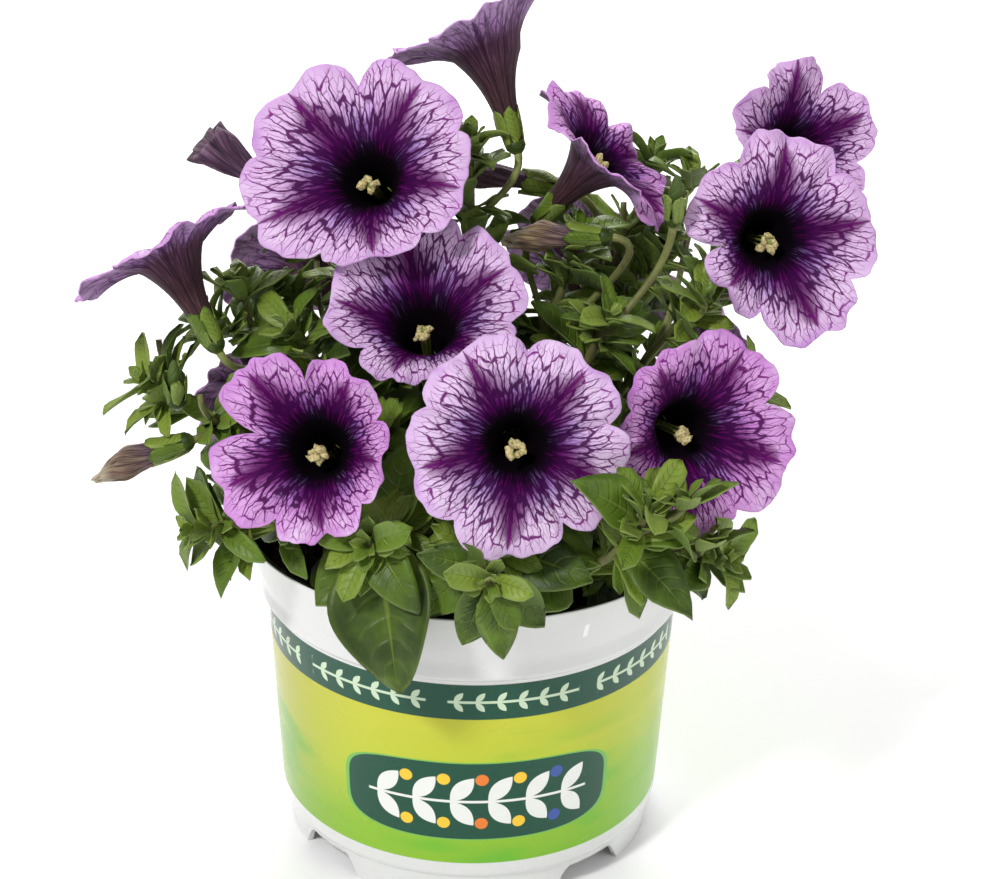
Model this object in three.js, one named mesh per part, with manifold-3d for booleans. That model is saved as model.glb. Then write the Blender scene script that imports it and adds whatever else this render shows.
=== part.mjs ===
// A potted petunia: a thin plastic nursery pot filled with soil, with leafy stems rooted in plain
// holes in the soil, open blooms on stalks, closed buds and a few withered blooms. Millimetres,
// +Z up. The origin is the centre of the pot's flat foot pad, and the front of the plant faces -Y.
import * as THREE from 'three';
import { mergeVertices } from 'three/addons/utils/BufferGeometryUtils.js';
import Module from 'manifold-3d';

const wasm = await Module();
wasm.setup();

// Driving dimensions of the pot. The radii are outer ones, and heights are measured from the ground.
const POT_HEIGHT = 88;
const RIM_RADIUS = 60;
const RIM_DEPTH = 6;
const POT_WALL = 1.3;
const COLLAR_BOTTOM = 69;
const COLLAR_RADIUS = 55.2;
const COLLAR_STRAIGHT = 4.5;
const BODY_TOP_RADIUS = 53.4;
const BODY_BOTTOM_RADIUS = 50.4;
const GROOVE_DEPTH = 1.5;
const FOOT_STEP = 8.6;
const FOOT_RADIUS = 48.4;
const SKIRT_INNER = FOOT_RADIUS - 1.6;
const FLOOR_UNDERSIDE = 6.6;
const FLOOR_TOP = FLOOR_UNDERSIDE + POT_WALL;
const PAD_RADIUS = 17;
const PAD_SLOPE = 4.6;
const POT_SEGMENTS = 30;
const NOTCH_WIDTH = 21;
const NOTCH_HEIGHT = 5.6;
const NOTCH_SHOULDER = 4.2;
const NOTCH_ANGLES = [-49, 41, 131, 221];
const NOTCH_CUT = 12;
const DRAIN_HOLES = 6;
const DRAIN_RADIUS = 3;
const DRAIN_CIRCLE = 33;
const DRAIN_TURN = 30;

// Driving dimensions of the soil and of the stems' holes in it.
const FIT_GAP = 0.35;
const SOIL_LEVEL = 75;
const SOIL_LUMP = 2.2;
const SOIL_COLUMNS = 16;
const SOIL_SEED = 41;
const ROOT_END = 66;
const HOLE_ROOM = 1.5;
const HOLE_DEPTH = 18;

// Driving dimensions of the blooms.
const LOBES = 5;
const TUBE_LENGTH = 24;
const MOUTH_RADIUS = 9.2;
const LIMB_HEIGHT = 28.6;
const PETAL_THICKNESS = 0.9;
const SEAM_SHORTER = 0.15;
const SEAM_DEEPER = 1.4;
const COROLLA_COLUMNS = 15;
const WITHERED_COLUMNS = 8;
const WITHERED_SAG = 3;
const WITHERED_SEED = 700;

// Driving dimensions of the stems, stalks, cups, buds and leaves.
const STEM_RADIUS = 1.25;
const STALK_RADIUS = 0.85;
const STALK_SINK = 1.2;
const STEM_STEPS = 7;
const STALK_STEPS = 4;
const TUBE_SIDES = 4;
const SEPAL_LENGTH = 10;
const BUD_SEPAL_LENGTH = 8;
const BUD_LENGTH = 13;
const BUD_RADIUS = 1.9;
const BUD_SIDES = 5;
const LEAF_LENGTH = 34;
const TOP_LEAF_LENGTH = 17;
const TUFT_LEAF_LENGTH = 13;
const LEAF_RATIO = 0.58;
const LEAF_THICKNESS = 1.1;
const LEAF_TURN = 2.4;
const STEM_TURN = 1.3;
const FIRST_LEAF = 0.26;
const LAST_LEAF = 0.93;
const TUFT_LEAVES = 3;
const TUFT_PLACE = 0.985;
const TRIES = 9;

// Room that is left between pieces, and the smallest faces that are kept.
const CLEARANCE = 0.3;
const SMALLEST_FACE = 0.1;
const GRAZE = 0.0005;

const WHITE_PLASTIC = new THREE.MeshStandardMaterial({ color: 0xe8e8e6, roughness: 0.3, metalness: 0 });
const POTTING_SOIL = new THREE.MeshStandardMaterial({ color: 0x2e2119, roughness: 1, metalness: 0 });
const FOLIAGE = new THREE.MeshStandardMaterial({ color: 0x4d7424, roughness: 0.6, metalness: 0 });
const PETALS = new THREE.MeshStandardMaterial({ color: 0xa862b8, roughness: 0.55, metalness: 0 });
const WITHERED = new THREE.MeshStandardMaterial({ color: 0x6a4a5c, roughness: 0.8, metalness: 0 });

const UP = new THREE.Vector3(0, 0, 1);
const vector = (point) => new THREE.Vector3(point[0], point[1], point[2]);
const radians = (degrees) => degrees * Math.PI / 180;
const mix = (from, to, share) => from + (to - from) * share;
const bezier = (...handles) => new THREE.CubicBezierCurve3(...handles);

// Repeatable draws between 0 and 1.
function draws(seed) {
  let state = (seed * 2654435761 + 97) >>> 0;
  return () => {
    state = (state + 0x6d2b79f5) >>> 0;
    let value = Math.imul(state ^ (state >>> 15), state | 1);
    value ^= value + Math.imul(value ^ (value >>> 7), value | 61);
    return ((value ^ (value >>> 14)) >>> 0) / 4294967296;
  };
}

// A closed geometry as a solid, with its faces pointing out.
function solidOf(geometry) {
  geometry.deleteAttribute('normal');
  geometry.deleteAttribute('uv');
  const welded = mergeVertices(geometry, 1e-4);
  const corners = welded.index.array;
  const kept = [];
  for (let i = 0; i < corners.length; i += 3) {
    const [a, b, c] = [corners[i], corners[i + 1], corners[i + 2]];
    if (a !== b && b !== c && c !== a) kept.push(a, b, c);
  }
  const make = (indices) => new wasm.Manifold(new wasm.Mesh({
    numProp: 3,
    vertProperties: new Float32Array(welded.attributes.position.array),
    triVerts: new Uint32Array(indices),
  }));
  const solid = make(kept);
  if (solid.volume() > 0) return solid;
  const turned = [];
  for (let i = 0; i < kept.length; i += 3) turned.push(kept[i], kept[i + 2], kept[i + 1]);
  return make(turned);
}

// A grid bent into a closed skin. Each square is split along the diagonal that slants asks for.
function skin(columns, rows, place, slants) {
  const sheet = new THREE.PlaneGeometry(1, 1, columns, rows);
  const positions = sheet.attributes.position;
  const wide = columns + 1;
  for (let row = 0; row <= rows; row += 1) {
    for (let column = 0; column <= columns; column += 1) {
      const point = place(column % columns, row);
      positions.setXYZ(row * wide + column, point.x, point.y, point.z);
    }
  }
  const index = [];
  for (let row = 0; row < rows; row += 1) {
    for (let column = 0; column < columns; column += 1) {
      const a = row * wide + column;
      const b = a + 1;
      const c = a + wide + 1;
      const d = a + wide;
      if (slants(column, row)) index.push(a, b, c, a, c, d);
      else index.push(a, b, d, b, c, d);
    }
  }
  sheet.setIndex(index);
  return solidOf(sheet);
}

function joined(solids) {
  let whole = solids[0];
  for (const solid of solids.slice(1)) whole = whole.add(solid);
  return whole;
}

function meshOf(name, solid, material) {
  const mesh = solid.getMesh();
  const geometry = new THREE.BufferGeometry();
  const count = mesh.vertProperties.length / mesh.numProp;
  const positions = new Float32Array(count * 3);
  for (let i = 0; i < count; i += 1) {
    for (let k = 0; k < 3; k += 1) positions[i * 3 + k] = mesh.vertProperties[i * mesh.numProp + k];
  }
  geometry.setAttribute('position', new THREE.BufferAttribute(positions, 3));
  geometry.setIndex(new THREE.BufferAttribute(new Uint32Array(mesh.triVerts), 1));
  geometry.computeVertexNormals();
  const part = new THREE.Mesh(geometry, material);
  part.name = name;
  return part;
}

// Two directions square to an axis: level to its side, and over its brow.
function squareTo(axis) {
  const side = new THREE.Vector3().crossVectors(UP, axis).normalize();
  return { side, brow: new THREE.Vector3().crossVectors(axis, side) };
}

// The pot: a thin shell with a flared collar, a foot skirt with four arched notches, a flat pad
// under the middle of the floor and a raised ring channel with drain holes.
const underPot = [
  [0, 0],
  [PAD_RADIUS, 0],
  [PAD_RADIUS + PAD_SLOPE, FLOOR_UNDERSIDE],
  [SKIRT_INNER, FLOOR_UNDERSIDE],
  [SKIRT_INNER, 0],
];
const outsideOfPot = [
  [FOOT_RADIUS, 0],
  [FOOT_RADIUS + 0.8, FOOT_STEP - 0.8],
  [BODY_BOTTOM_RADIUS, FOOT_STEP + 0.6],
  [BODY_TOP_RADIUS, COLLAR_BOTTOM - GROOVE_DEPTH],
  [COLLAR_RADIUS, COLLAR_BOTTOM],
  [COLLAR_RADIUS, COLLAR_BOTTOM + COLLAR_STRAIGHT],
  [RIM_RADIUS - 2, POT_HEIGHT - RIM_DEPTH],
  [RIM_RADIUS, POT_HEIGHT],
];
const insideOfPot = [
  [RIM_RADIUS - 1.6, POT_HEIGHT],
  [RIM_RADIUS - 3.6, POT_HEIGHT - RIM_DEPTH],
  [COLLAR_RADIUS - POT_WALL - 0.4, COLLAR_BOTTOM + COLLAR_STRAIGHT],
  [BODY_TOP_RADIUS - POT_WALL, COLLAR_BOTTOM - GROOVE_DEPTH],
  [BODY_BOTTOM_RADIUS - POT_WALL - 0.6, FLOOR_TOP],
  [PAD_RADIUS + 6, FLOOR_TOP],
  [PAD_RADIUS + 0.6, POT_WALL],
  [0, POT_WALL],
];

function potShell() {
  const profile = [...underPot, ...outsideOfPot, ...insideOfPot];
  const points = profile.map(([radius, height]) => new THREE.Vector2(radius, height));
  return solidOf(new THREE.LatheGeometry(points, POT_SEGMENTS).rotateX(Math.PI / 2));
}

function archedNotch(angle) {
  const half = NOTCH_WIDTH / 2;
  const arch = new THREE.Shape();
  arch.moveTo(-half, -2);
  arch.lineTo(half, -2);
  arch.lineTo(half - 1.2, NOTCH_HEIGHT * 0.55);
  arch.lineTo(half - NOTCH_SHOULDER, NOTCH_HEIGHT);
  arch.lineTo(-half + NOTCH_SHOULDER, NOTCH_HEIGHT);
  arch.lineTo(-half + 1.2, NOTCH_HEIGHT * 0.55);
  const cut = new THREE.ExtrudeGeometry(arch, { depth: NOTCH_CUT, bevelEnabled: false });
  cut.rotateX(Math.PI / 2);
  cut.translate(0, -SKIRT_INNER + NOTCH_CUT / 2 + 0.5, 0);
  cut.rotateZ(radians(angle));
  return solidOf(cut);
}

function drainHole(number) {
  const hole = new THREE.CylinderGeometry(DRAIN_RADIUS, DRAIN_RADIUS, 6, 8);
  hole.rotateX(Math.PI / 2);
  const turn = radians(number * 360 / DRAIN_HOLES + DRAIN_TURN);
  hole.translate(DRAIN_CIRCLE * Math.cos(turn), DRAIN_CIRCLE * Math.sin(turn), FLOOR_UNDERSIDE + 1);
  return solidOf(hole);
}

let pot = potShell();
for (const angle of NOTCH_ANGLES) pot = pot.subtract(archedNotch(angle));
for (let number = 0; number < DRAIN_HOLES; number += 1) pot = pot.subtract(drainHole(number));

// Every bloom: the middle of its mouth, the way it faces (turned from the front towards the right,
// and raised), the reach of its lobes, its turn about its own axis, each lobe's curl and length, and
// how deep the cleft after each lobe is.
const BLOOMS = [
  { name: 'bloom_front', mouth: [10, -56, 132], face: [3, 20], reach: 26, turn: 12,
    curl: [1, 2, 0, 1, 3], long: [1, 1, 0.98, 1, 1], cleft: [1.2, 0.8, 0.9, 1.5, 1.1] },
  { name: 'bloom_front_left', mouth: [-36, -53, 129], face: [-10, 30], reach: 23, turn: 28,
    curl: [-3, -5, 1, 3, 0], long: [0.86, 1.02, 1.1, 0.96, 0.78], cleft: [2.3, 2.8, 1.2, 1, 1.4] },
  { name: 'bloom_front_right', mouth: [50, -40, 129], face: [26, 14], reach: 26, turn: 10,
    curl: [2, 0, 3, 1, 2], long: [1, 0.84, 0.72, 0.98, 1.12], cleft: [0.9, 1, 1, 0.8, 1.9] },
  { name: 'bloom_middle', mouth: [-12, -28, 150], face: [-6, 57], reach: 24.5, turn: 0,
    curl: [-3, -6, -2, 1, 0], long: [1.02, 1.16, 0.96, 0.76, 0.86], cleft: [0.9, 1.9, 1.7, 1.2, 0.8] },
  { name: 'bloom_upper_left', mouth: [-26, -12, 181], face: [-14, 36], reach: 28, turn: 33,
    curl: [2, 1, 0, 2, 1], long: [1.03, 1.08, 1.06, 0.78, 0.9], cleft: [1.6, 0.6, 0.9, 1, 0.7] },
  { name: 'bloom_upper_right', mouth: [71, -6, 165], face: [12, 18], reach: 25.5, turn: 42,
    curl: [2, 2, 1, 0, 1], long: [1, 0.88, 0.72, 1.06, 1.06], cleft: [1.2, 2.4, 1.3, 0.8, 0.9] },
  { name: 'bloom_far_right', mouth: [80, 26, 177], face: [40, 30], reach: 23, turn: 48,
    curl: [-3, 2, 1, 3, -4], long: [0.94, 1, 1, 0.95, 0.92], cleft: [1.2, 1, 1, 1, 2.1] },
  { name: 'bloom_top', mouth: [2, 18, 204], face: [-140, 62], reach: 22, turn: 10,
    curl: [-3, -8, -6, -2, 0], long: [0.95, 0.74, 0.78, 1, 1.1] },
  { name: 'bloom_top_right', mouth: [30, 9, 180], face: [68, 50], reach: 24, turn: 15,
    curl: [3, -2, -5, 2, 6], long: [1, 0.92, 0.9, 1, 0.8] },
  { name: 'bloom_far_left', mouth: [-73.5, -15, 162], face: [-120, 58], reach: 24, turn: 0,
    curl: [0, 1, 2, 4, 3], long: [0.86, 0.9, 0.95, 1.1, 1.04] },
  { name: 'bloom_back_left', mouth: [-44, 50, 136], face: [-150, 28], reach: 26, turn: 5,
    curl: [2, 1, 3, 0, 2], long: [1, 1, 0.95, 1, 1] },
  { name: 'bloom_back_right', mouth: [31, 56, 133], face: [158, 26], reach: 26, turn: 33,
    curl: [1, 3, 2, 0, 1], long: [1, 0.95, 1, 1, 0.97] },
  { name: 'bloom_back_low', mouth: [-8, 62, 105], face: [-176, 18], reach: 22.5, turn: 18,
    curl: [2, 0, 2, 3, 1], long: [1, 1, 1, 0.94, 1] },
  { name: 'bloom_left_back', mouth: [-60, 36, 108], face: [-122, 20], reach: 22, turn: 50,
    curl: [1, 3, 0, 2, 2], long: [0.96, 1, 1, 1, 0.94] },
  { name: 'bloom_right_back', mouth: [65, 34, 114], face: [118, 22], reach: 24, turn: 28,
    curl: [0, 2, 3, 1, 2], long: [1, 0.96, 1, 1, 1] },
];

// A bloom's own axes: side, brow and face, with its foot where the stalk ends.
function bloomFrame(bloom) {
  const [turn, raise] = bloom.face.map(radians);
  const level = Math.cos(raise);
  const face = new THREE.Vector3(Math.sin(turn) * level, -Math.cos(turn) * level, Math.sin(raise));
  const foot = vector(bloom.mouth).addScaledVector(face, -TUBE_LENGTH);
  return { face, foot, ...squareTo(face) };
}

// How far the limb reaches at a turn, and how far it bends back or forward there. Each lobe ends in
// a blunt lip, and the seams between the lobes are shorter and sit a little deeper.
function lobeAt(bloom, turn) {
  const place = ((turn / (Math.PI * 2)) * LOBES + LOBES) % LOBES;
  const lobe = Math.floor(place);
  const across = Math.abs((place - lobe) * 2 - 1);
  const next = (lobe + (place - lobe > 0.5 ? 1 : LOBES - 1)) % LOBES;
  const shared = across * across * 0.5;
  const curl = mix(bloom.curl[lobe], bloom.curl[next], shared);
  const long = mix(bloom.long[lobe], bloom.long[next], shared);
  const cleft = bloom.cleft?.[place - lobe > 0.5 ? lobe : next] ?? 1;
  const seam = across ** 6;
  const shorter = SEAM_SHORTER * cleft * seam;
  return { reach: bloom.reach * long * (1 - shorter), lift: -curl - SEAM_DEEPER * seam };
}

// Rings of the funnel from its foot to the lip outside, and back down inside. A ring with a share
// follows the lobes at that share of their reach.
const COROLLA_RINGS = [
  { radius: 0, height: 0 },
  { radius: 1.8, height: 0 },
  { radius: 4.4, height: 15 },
  { radius: MOUTH_RADIUS, height: TUBE_LENGTH },
  { share: 0.66, height: LIMB_HEIGHT - 0.4 },
  { share: 1, height: LIMB_HEIGHT },
  { share: 1, height: LIMB_HEIGHT + PETAL_THICKNESS },
  { share: 0.64, height: LIMB_HEIGHT - 0.2 + PETAL_THICKNESS },
  { radius: MOUTH_RADIUS - PETAL_THICKNESS, height: TUBE_LENGTH + PETAL_THICKNESS },
  { radius: 0, height: 18 },
];

function corolla(bloom) {
  const { face, side, brow, foot } = bloomFrame(bloom);
  const place = (column, row) => {
    const ring = COROLLA_RINGS[row];
    const turn = column / COROLLA_COLUMNS * Math.PI * 2;
    const lobe = lobeAt(bloom, turn);
    const share = ring.share ?? 0;
    const radius = ring.share ? lobe.reach * share : ring.radius;
    const height = ring.height + lobe.lift * share * share;
    const angle = turn + radians(bloom.turn);
    return foot.clone().addScaledVector(side, Math.cos(angle) * radius)
      .addScaledVector(brow, Math.sin(angle) * radius).addScaledVector(face, height);
  };
  return skin(COROLLA_COLUMNS, COROLLA_RINGS.length - 1, place, (column, row) => row >= 5);
}

// Withered blooms: limp twisted funnels, each from its foot to its tip, with the size of its mouth.
const WITHERED_BLOOMS = [
  { name: 'withered_middle', foot: [31, -1, 163], tip: [8, 3, 163], fat: 4 },
  { name: 'withered_left', foot: [-70, -27, 118], tip: [-91, -31, 113], fat: 4.5 },
  { name: 'withered_upper_left', foot: [-47, 8, 168], tip: [-66, 6, 186], fat: 6.5 },
  { name: 'withered_behind', foot: [20, 22, 168], tip: [-8, 22, 174], fat: 4.2 },
];

function witheredCorolla(wilt, number) {
  const foot = vector(wilt.foot);
  const axis = vector(wilt.tip).sub(foot);
  const length = axis.length();
  axis.normalize();
  const { side, brow } = squareTo(axis);
  const rings = [
    [0, 0], [1.5, 0], [2.2, 0.35], [wilt.fat * 0.7, 0.72], [wilt.fat, 0.95], [1.2, 1], [0, 0.97],
  ];
  const draw = draws(WITHERED_SEED + number);
  const crumple = Array.from({ length: WITHERED_COLUMNS }, () => mix(0.65, 1.15, draw()));
  const place = (column, row) => {
    const [radius, along] = rings[row];
    const angle = (column + row * 0.35) / WITHERED_COLUMNS * Math.PI * 2;
    const wide = row > 2 ? radius * crumple[column] : radius;
    const sag = -WITHERED_SAG * along * along;
    return foot.clone().addScaledVector(side, Math.cos(angle) * wide)
      .addScaledVector(brow, Math.sin(angle) * wide + sag).addScaledVector(axis, length * along);
  };
  return skin(WITHERED_COLUMNS, rings.length - 1, place, () => true);
}

// Leafy stems. Each rises from its root, bends by its two handles and ends at its tip; its stalks
// leave it at a share of its length and carry a bloom, a withered bloom or a closed bud.
const STEMS = [
  { name: 'stem_front', root: [2, -16], lift: 30, tip: [4, -72, 105], lead: [0, -22, -6], leaves: 7,
    stalks: [{ at: 0.45, bloom: 0 }],
    hung: [
      { at: 0.97, way: [-6, -3, -17], length: 18, width: 10 },
      { at: 0.98, way: [4, -4, -20], length: 20, width: 10 },
      { at: 0.96, way: [12, 0, -12], length: 19, width: 11 }] },
  { name: 'stem_front_right', root: [11, -18], lift: 20, tip: [40, -66, 122], lead: [6, -6, 26],
    leaves: 6, stalks: [] },
  { name: 'stem_front_left', root: [-9, -17], lift: 26, tip: [-66, -42, 102], lead: [-24, -6, -2],
    leaves: 8, stalks: [{ at: 0.4, bloom: 1 }] },
  { name: 'stem_left', root: [-16, -7], lift: 26, tip: [-80, -18, 130], lead: [-22, -2, 14],
    leaves: 8, stalks: [{ at: 0.72, wilt: 1 }, { at: 0.86, bud: [-72, -24, 128] }] },
  { name: 'stem_upper_left', root: [-11, 0], lift: 40, tip: [-66, -4, 142], lead: [-20, 0, 16],
    leaves: 8, stalks: [{ at: 0.7, bloom: 9 }] },
  { name: 'stem_high_left', root: [-5, 3], lift: 50, tip: [-36, 6, 166], lead: [-12, 0, 26],
    leaves: 8, stalks: [{ at: 0.6, bloom: 4 }, { at: 0.75, wilt: 2 }] },
  { name: 'stem_middle', root: [-5, -8], lift: 30, tip: [-24, -32, 122], lead: [-8, -10, 12],
    leaves: 7, stalks: [{ at: 0.55, bloom: 3 }] },
  { name: 'stem_top', root: [-1, 0], lift: 60, tip: [-2, 8, 184], lead: [-1, 0, 30], leaves: 7,
    stalks: [{ at: 0.72, bloom: 7 }] },
  { name: 'stem_high_right', root: [4, 3], lift: 50, tip: [26, 10, 160], lead: [6, 2, 26],
    leaves: 8, stalks: [{ at: 0.6, bloom: 8 }, { at: 0.5, wilt: 0 }] },
  { name: 'stem_upper_right', root: [9, 4], lift: 50, tip: [46, 42, 170], lead: [8, 6, 34],
    leaves: 7, stalks: [{ at: 0.5, wilt: 3 }] },
  { name: 'stem_right', root: [15, 1], lift: 40, tip: [64, -2, 158], lead: [16, -4, 22], leaves: 8,
    stalks: [{ at: 0.55, bloom: 5 }, { at: 0.62, bloom: 6 }] },
  { name: 'stem_right_low', root: [17, -7], lift: 26, tip: [66, -20, 132], lead: [20, -4, 12],
    leaves: 8, stalks: [{ at: 0.45, bloom: 2 }] },
  { name: 'stem_right_rim', root: [19, -13], lift: 20, tip: [60, -46, 98], lead: [18, -14, 0],
    leaves: 5, stalks: [] },
  { name: 'stem_back_left', root: [-8, 11], lift: 40, tip: [-48, 24, 138], lead: [-16, 8, 16],
    leaves: 6, stalks: [{ at: 0.6, bloom: 10 }] },
  { name: 'stem_back', root: [-3, 18], lift: 24, tip: [24, 64, 97], lead: [12, 18, 0], leaves: 6,
    stalks: [{ at: 0.45, bloom: 12 }] },
  { name: 'stem_back_right', root: [4, 11], lift: 40, tip: [34, 40, 128], lead: [10, 12, 14],
    leaves: 6, stalks: [{ at: 0.55, bloom: 11 }] },
  { name: 'stem_left_back', root: [-15, 8], lift: 22, tip: [-58, 46, 98], lead: [-18, 16, 0],
    leaves: 6, stalks: [{ at: 0.5, bloom: 13 }] },
  { name: 'stem_right_back', root: [14, 12], lift: 22, tip: [52, 56, 98], lead: [16, 16, 0],
    leaves: 6, stalks: [{ at: 0.5, bloom: 14 }] },
  { name: 'shoot_rim', root: [-4, -23], lift: 22, tip: [-24, -60, 108], lead: [-6, -18, 0],
    leaves: 6, stalks: [],
    hung: [
      { at: 0.9, way: [4, -17, -30], length: 37, width: 25, broad: true },
      { at: 0.8, way: [-16, -9, -13], length: 24, width: 15 }] },
  { name: 'shoot_middle_right', root: [9, -9], lift: 36, tip: [32, -16, 148], lead: [8, -4, 24],
    leaves: 8, stalks: [{ at: 0.8, bud: [47, -12, 172] }] },
  { name: 'shoot_middle_left', root: [-10, -10], lift: 36, tip: [-44, -16, 144], lead: [-12, -4, 22],
    leaves: 8, stalks: [] },
  { name: 'shoot_back_high', root: [-2, 7], lift: 44, tip: [-16, 30, 162], lead: [-4, 6, 26],
    leaves: 5, stalks: [] },
  { name: 'shoot_back_side', root: [10, 10], lift: 40, tip: [50, 30, 150], lead: [14, 8, 22],
    leaves: 5, stalks: [] },
];

function stemCurve(stem) {
  const root = new THREE.Vector3(stem.root[0], stem.root[1], ROOT_END);
  const tip = vector(stem.tip);
  const outward = new THREE.Vector3(tip.x - root.x, tip.y - root.y, 0).multiplyScalar(0.12);
  const first = root.clone().add(outward).addScaledVector(UP, stem.lift);
  return bezier(root, first, tip.clone().sub(vector(stem.lead)), tip);
}

function tube(curve, radius, steps) {
  const section = new THREE.Shape();
  section.moveTo(radius, 0);
  for (let i = 1; i < TUBE_SIDES; i += 1) {
    const turn = i / TUBE_SIDES * Math.PI * 2;
    section.lineTo(radius * Math.cos(turn), radius * Math.sin(turn));
  }
  return solidOf(new THREE.ExtrudeGeometry(section, { steps, extrudePath: curve, bevelEnabled: false }));
}

// What a stalk ends in: the foot of the thing it carries and the way that thing points.
function stalkEnd(stalk) {
  if (stalk.bloom !== undefined) {
    const { face, foot } = bloomFrame(BLOOMS[stalk.bloom]);
    return { foot, axis: face };
  }
  if (stalk.wilt !== undefined) {
    const wilt = WITHERED_BLOOMS[stalk.wilt];
    const foot = vector(wilt.foot);
    return { foot, axis: vector(wilt.tip).sub(foot).normalize() };
  }
  return { foot: vector(stalk.bud), axis: new THREE.Vector3(0, -0.2, 1).normalize() };
}

function stalkCurve(main, stalk) {
  const start = main.getPoint(stalk.at);
  const along = main.getTangent(stalk.at);
  const { foot, axis } = stalkEnd(stalk);
  const end = foot.clone().addScaledVector(axis, -STALK_SINK);
  const span = start.distanceTo(end);
  const first = start.clone().addScaledVector(along, span * 0.35);
  return bezier(start, first, end.clone().addScaledVector(axis, -span * 0.4), end);
}

// The green cup under a bloom: five narrow pointed sepals that stand on one small disc.
const CALYX_RINGS = [
  { radius: 0, height: -2.4 },
  { radius: 2.5, height: -1.7 },
  { radius: 3.6, height: 0.6, tip: true },
  { radius: 2.8, height: 1.0, tip: true },
  { radius: 2.3, height: -CLEARANCE - 0.1 },
  { radius: 0, height: -CLEARANCE - 0.1 },
];
const SEPAL_LEAN = 0.22;

function calyx({ foot, axis }, sepalLength) {
  const { side, brow } = squareTo(axis);
  const columns = LOBES * 2;
  const place = (column, row) => {
    const ring = CALYX_RINGS[row];
    const turn = column / columns * Math.PI * 2;
    const pointed = ring.tip && column % 2 === 0;
    const radius = ring.radius + (pointed ? sepalLength * SEPAL_LEAN : 0);
    const height = ring.height + (pointed ? sepalLength - 1 : 0);
    return foot.clone().addScaledVector(side, Math.cos(turn) * radius)
      .addScaledVector(brow, Math.sin(turn) * radius).addScaledVector(axis, height);
  };
  const slants = (column, row) => (column % 2 === 1) !== (row >= 3);
  return skin(columns, CALYX_RINGS.length - 1, place, slants);
}

// A closed bud, as shares of its length and of its radius. Its base is sunk in its cup.
const BUD_FORM = [[0, 0], [0.12, 0.8], [0.55, 1], [0.85, 0.6], [1, 0]];

function bud({ foot, axis }) {
  const { side, brow } = squareTo(axis);
  const place = (column, row) => {
    const [along, wide] = BUD_FORM[row];
    const turn = column / BUD_SIDES * Math.PI * 2;
    const radius = wide * BUD_RADIUS;
    return foot.clone().addScaledVector(axis, along * BUD_LENGTH - 1.5)
      .addScaledVector(side, Math.cos(turn) * radius).addScaledVector(brow, Math.sin(turn) * radius);
  };
  return skin(BUD_SIDES, BUD_FORM.length - 1, place, () => true);
}

// Leaf outlines: share of the length and share of the half width at each ring.
const LEAF_FORM = [[0, 0], [0.32, 0.88], [0.74, 0.8], [1, 0]];
const TUFT_LEAF_FORM = [[0, 0], [0.55, 1], [1, 0]];
const BROAD_LEAF_FORM = [[0, 0], [0.14, 0.55], [0.36, 1], [0.62, 0.92], [0.86, 0.5], [1, 0]];

// A blade with four-cornered sections: two thin edges, lifted by the keel, and a thicker midrib.
function blade({ base, way, up, length, width, keel, droop }, form) {
  const across = new THREE.Vector3().crossVectors(way, up).normalize();
  const lift = new THREE.Vector3().crossVectors(across, way).normalize();
  const place = (column, row) => {
    const [along, wide] = form[row];
    const half = width / 2 * wide;
    const reach = length * along * (1 - 0.12 * droop * along);
    const middle = base.clone().addScaledVector(way, reach);
    middle.addScaledVector(lift, -length * droop * along * along);
    if (column % 2 === 0) {
      return middle.addScaledVector(across, column === 0 ? half : -half).addScaledVector(lift, half * keel);
    }
    const wall = wide === 0 ? 0 : LEAF_THICKNESS / 2;
    return middle.addScaledVector(lift, column === 1 ? wall : -wall);
  };
  return skin(4, form.length - 1, place, (column) => column % 2 === 0);
}

// The leaves of a stem stand in a spiral round it, the lower ones longer, and the last few make a
// tuft at the tip. Where a leaf would meet a neighbour it turns aside and is shorter.
function leafOf(stem, stemNumber, curve, leafNumber, attempt) {
  const draw = draws(stemNumber * 1009 + leafNumber * 31 + attempt);
  const inTuft = leafNumber >= stem.leaves;
  const share = inTuft ? 1 : mix(FIRST_LEAF, LAST_LEAF, leafNumber / (stem.leaves - 1));
  const at = inTuft ? TUFT_PLACE : share;
  const along = curve.getTangent(at);
  const side = new THREE.Vector3().crossVectors(along, UP).normalize();
  const brow = new THREE.Vector3().crossVectors(side, along);
  const stray = attempt * 0.88 * (draw() - 0.5);
  const turn = leafNumber * LEAF_TURN + stemNumber * STEM_TURN + stray + (draw() - 0.5) * 0.5;
  const out = side.clone().multiplyScalar(Math.cos(turn)).addScaledVector(brow, Math.sin(turn));
  const lean = (inTuft ? 0.75 : mix(0.15, 0.5, share)) + 0.3 * (draw() - 0.5);
  const way = out.clone().addScaledVector(along, lean).addScaledVector(UP, 0.12).normalize();
  const full = inTuft ? TUFT_LEAF_LENGTH : mix(LEAF_LENGTH, TOP_LEAF_LENGTH, share ** 1.5);
  const length = full * (0.85 + 0.3 * draw()) * (1 - 0.055 * attempt);
  const base = curve.getPoint(at).addScaledVector(out, STEM_RADIUS * 0.4);
  const outward = new THREE.Vector3(base.x, base.y, 0).normalize();
  const up = along.clone().multiplyScalar(0.4).addScaledVector(UP, 0.5).addScaledVector(outward, 0.7);
  const keel = 0.3 + 0.15 * draw();
  const droop = 0.1 + 0.3 * draw();
  return { base, way, up, length, width: length * LEAF_RATIO, keel, droop };
}

// A large leaf that hangs outwards from its stem, over the rim.
function hungLeaf(curve, hung) {
  const base = curve.getPoint(hung.at);
  const up = new THREE.Vector3(base.x, base.y, 20);
  const way = vector(hung.way).normalize();
  return { base, way, up, length: hung.length, width: hung.width, keel: 0.18, droop: 0.08 };
}

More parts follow.
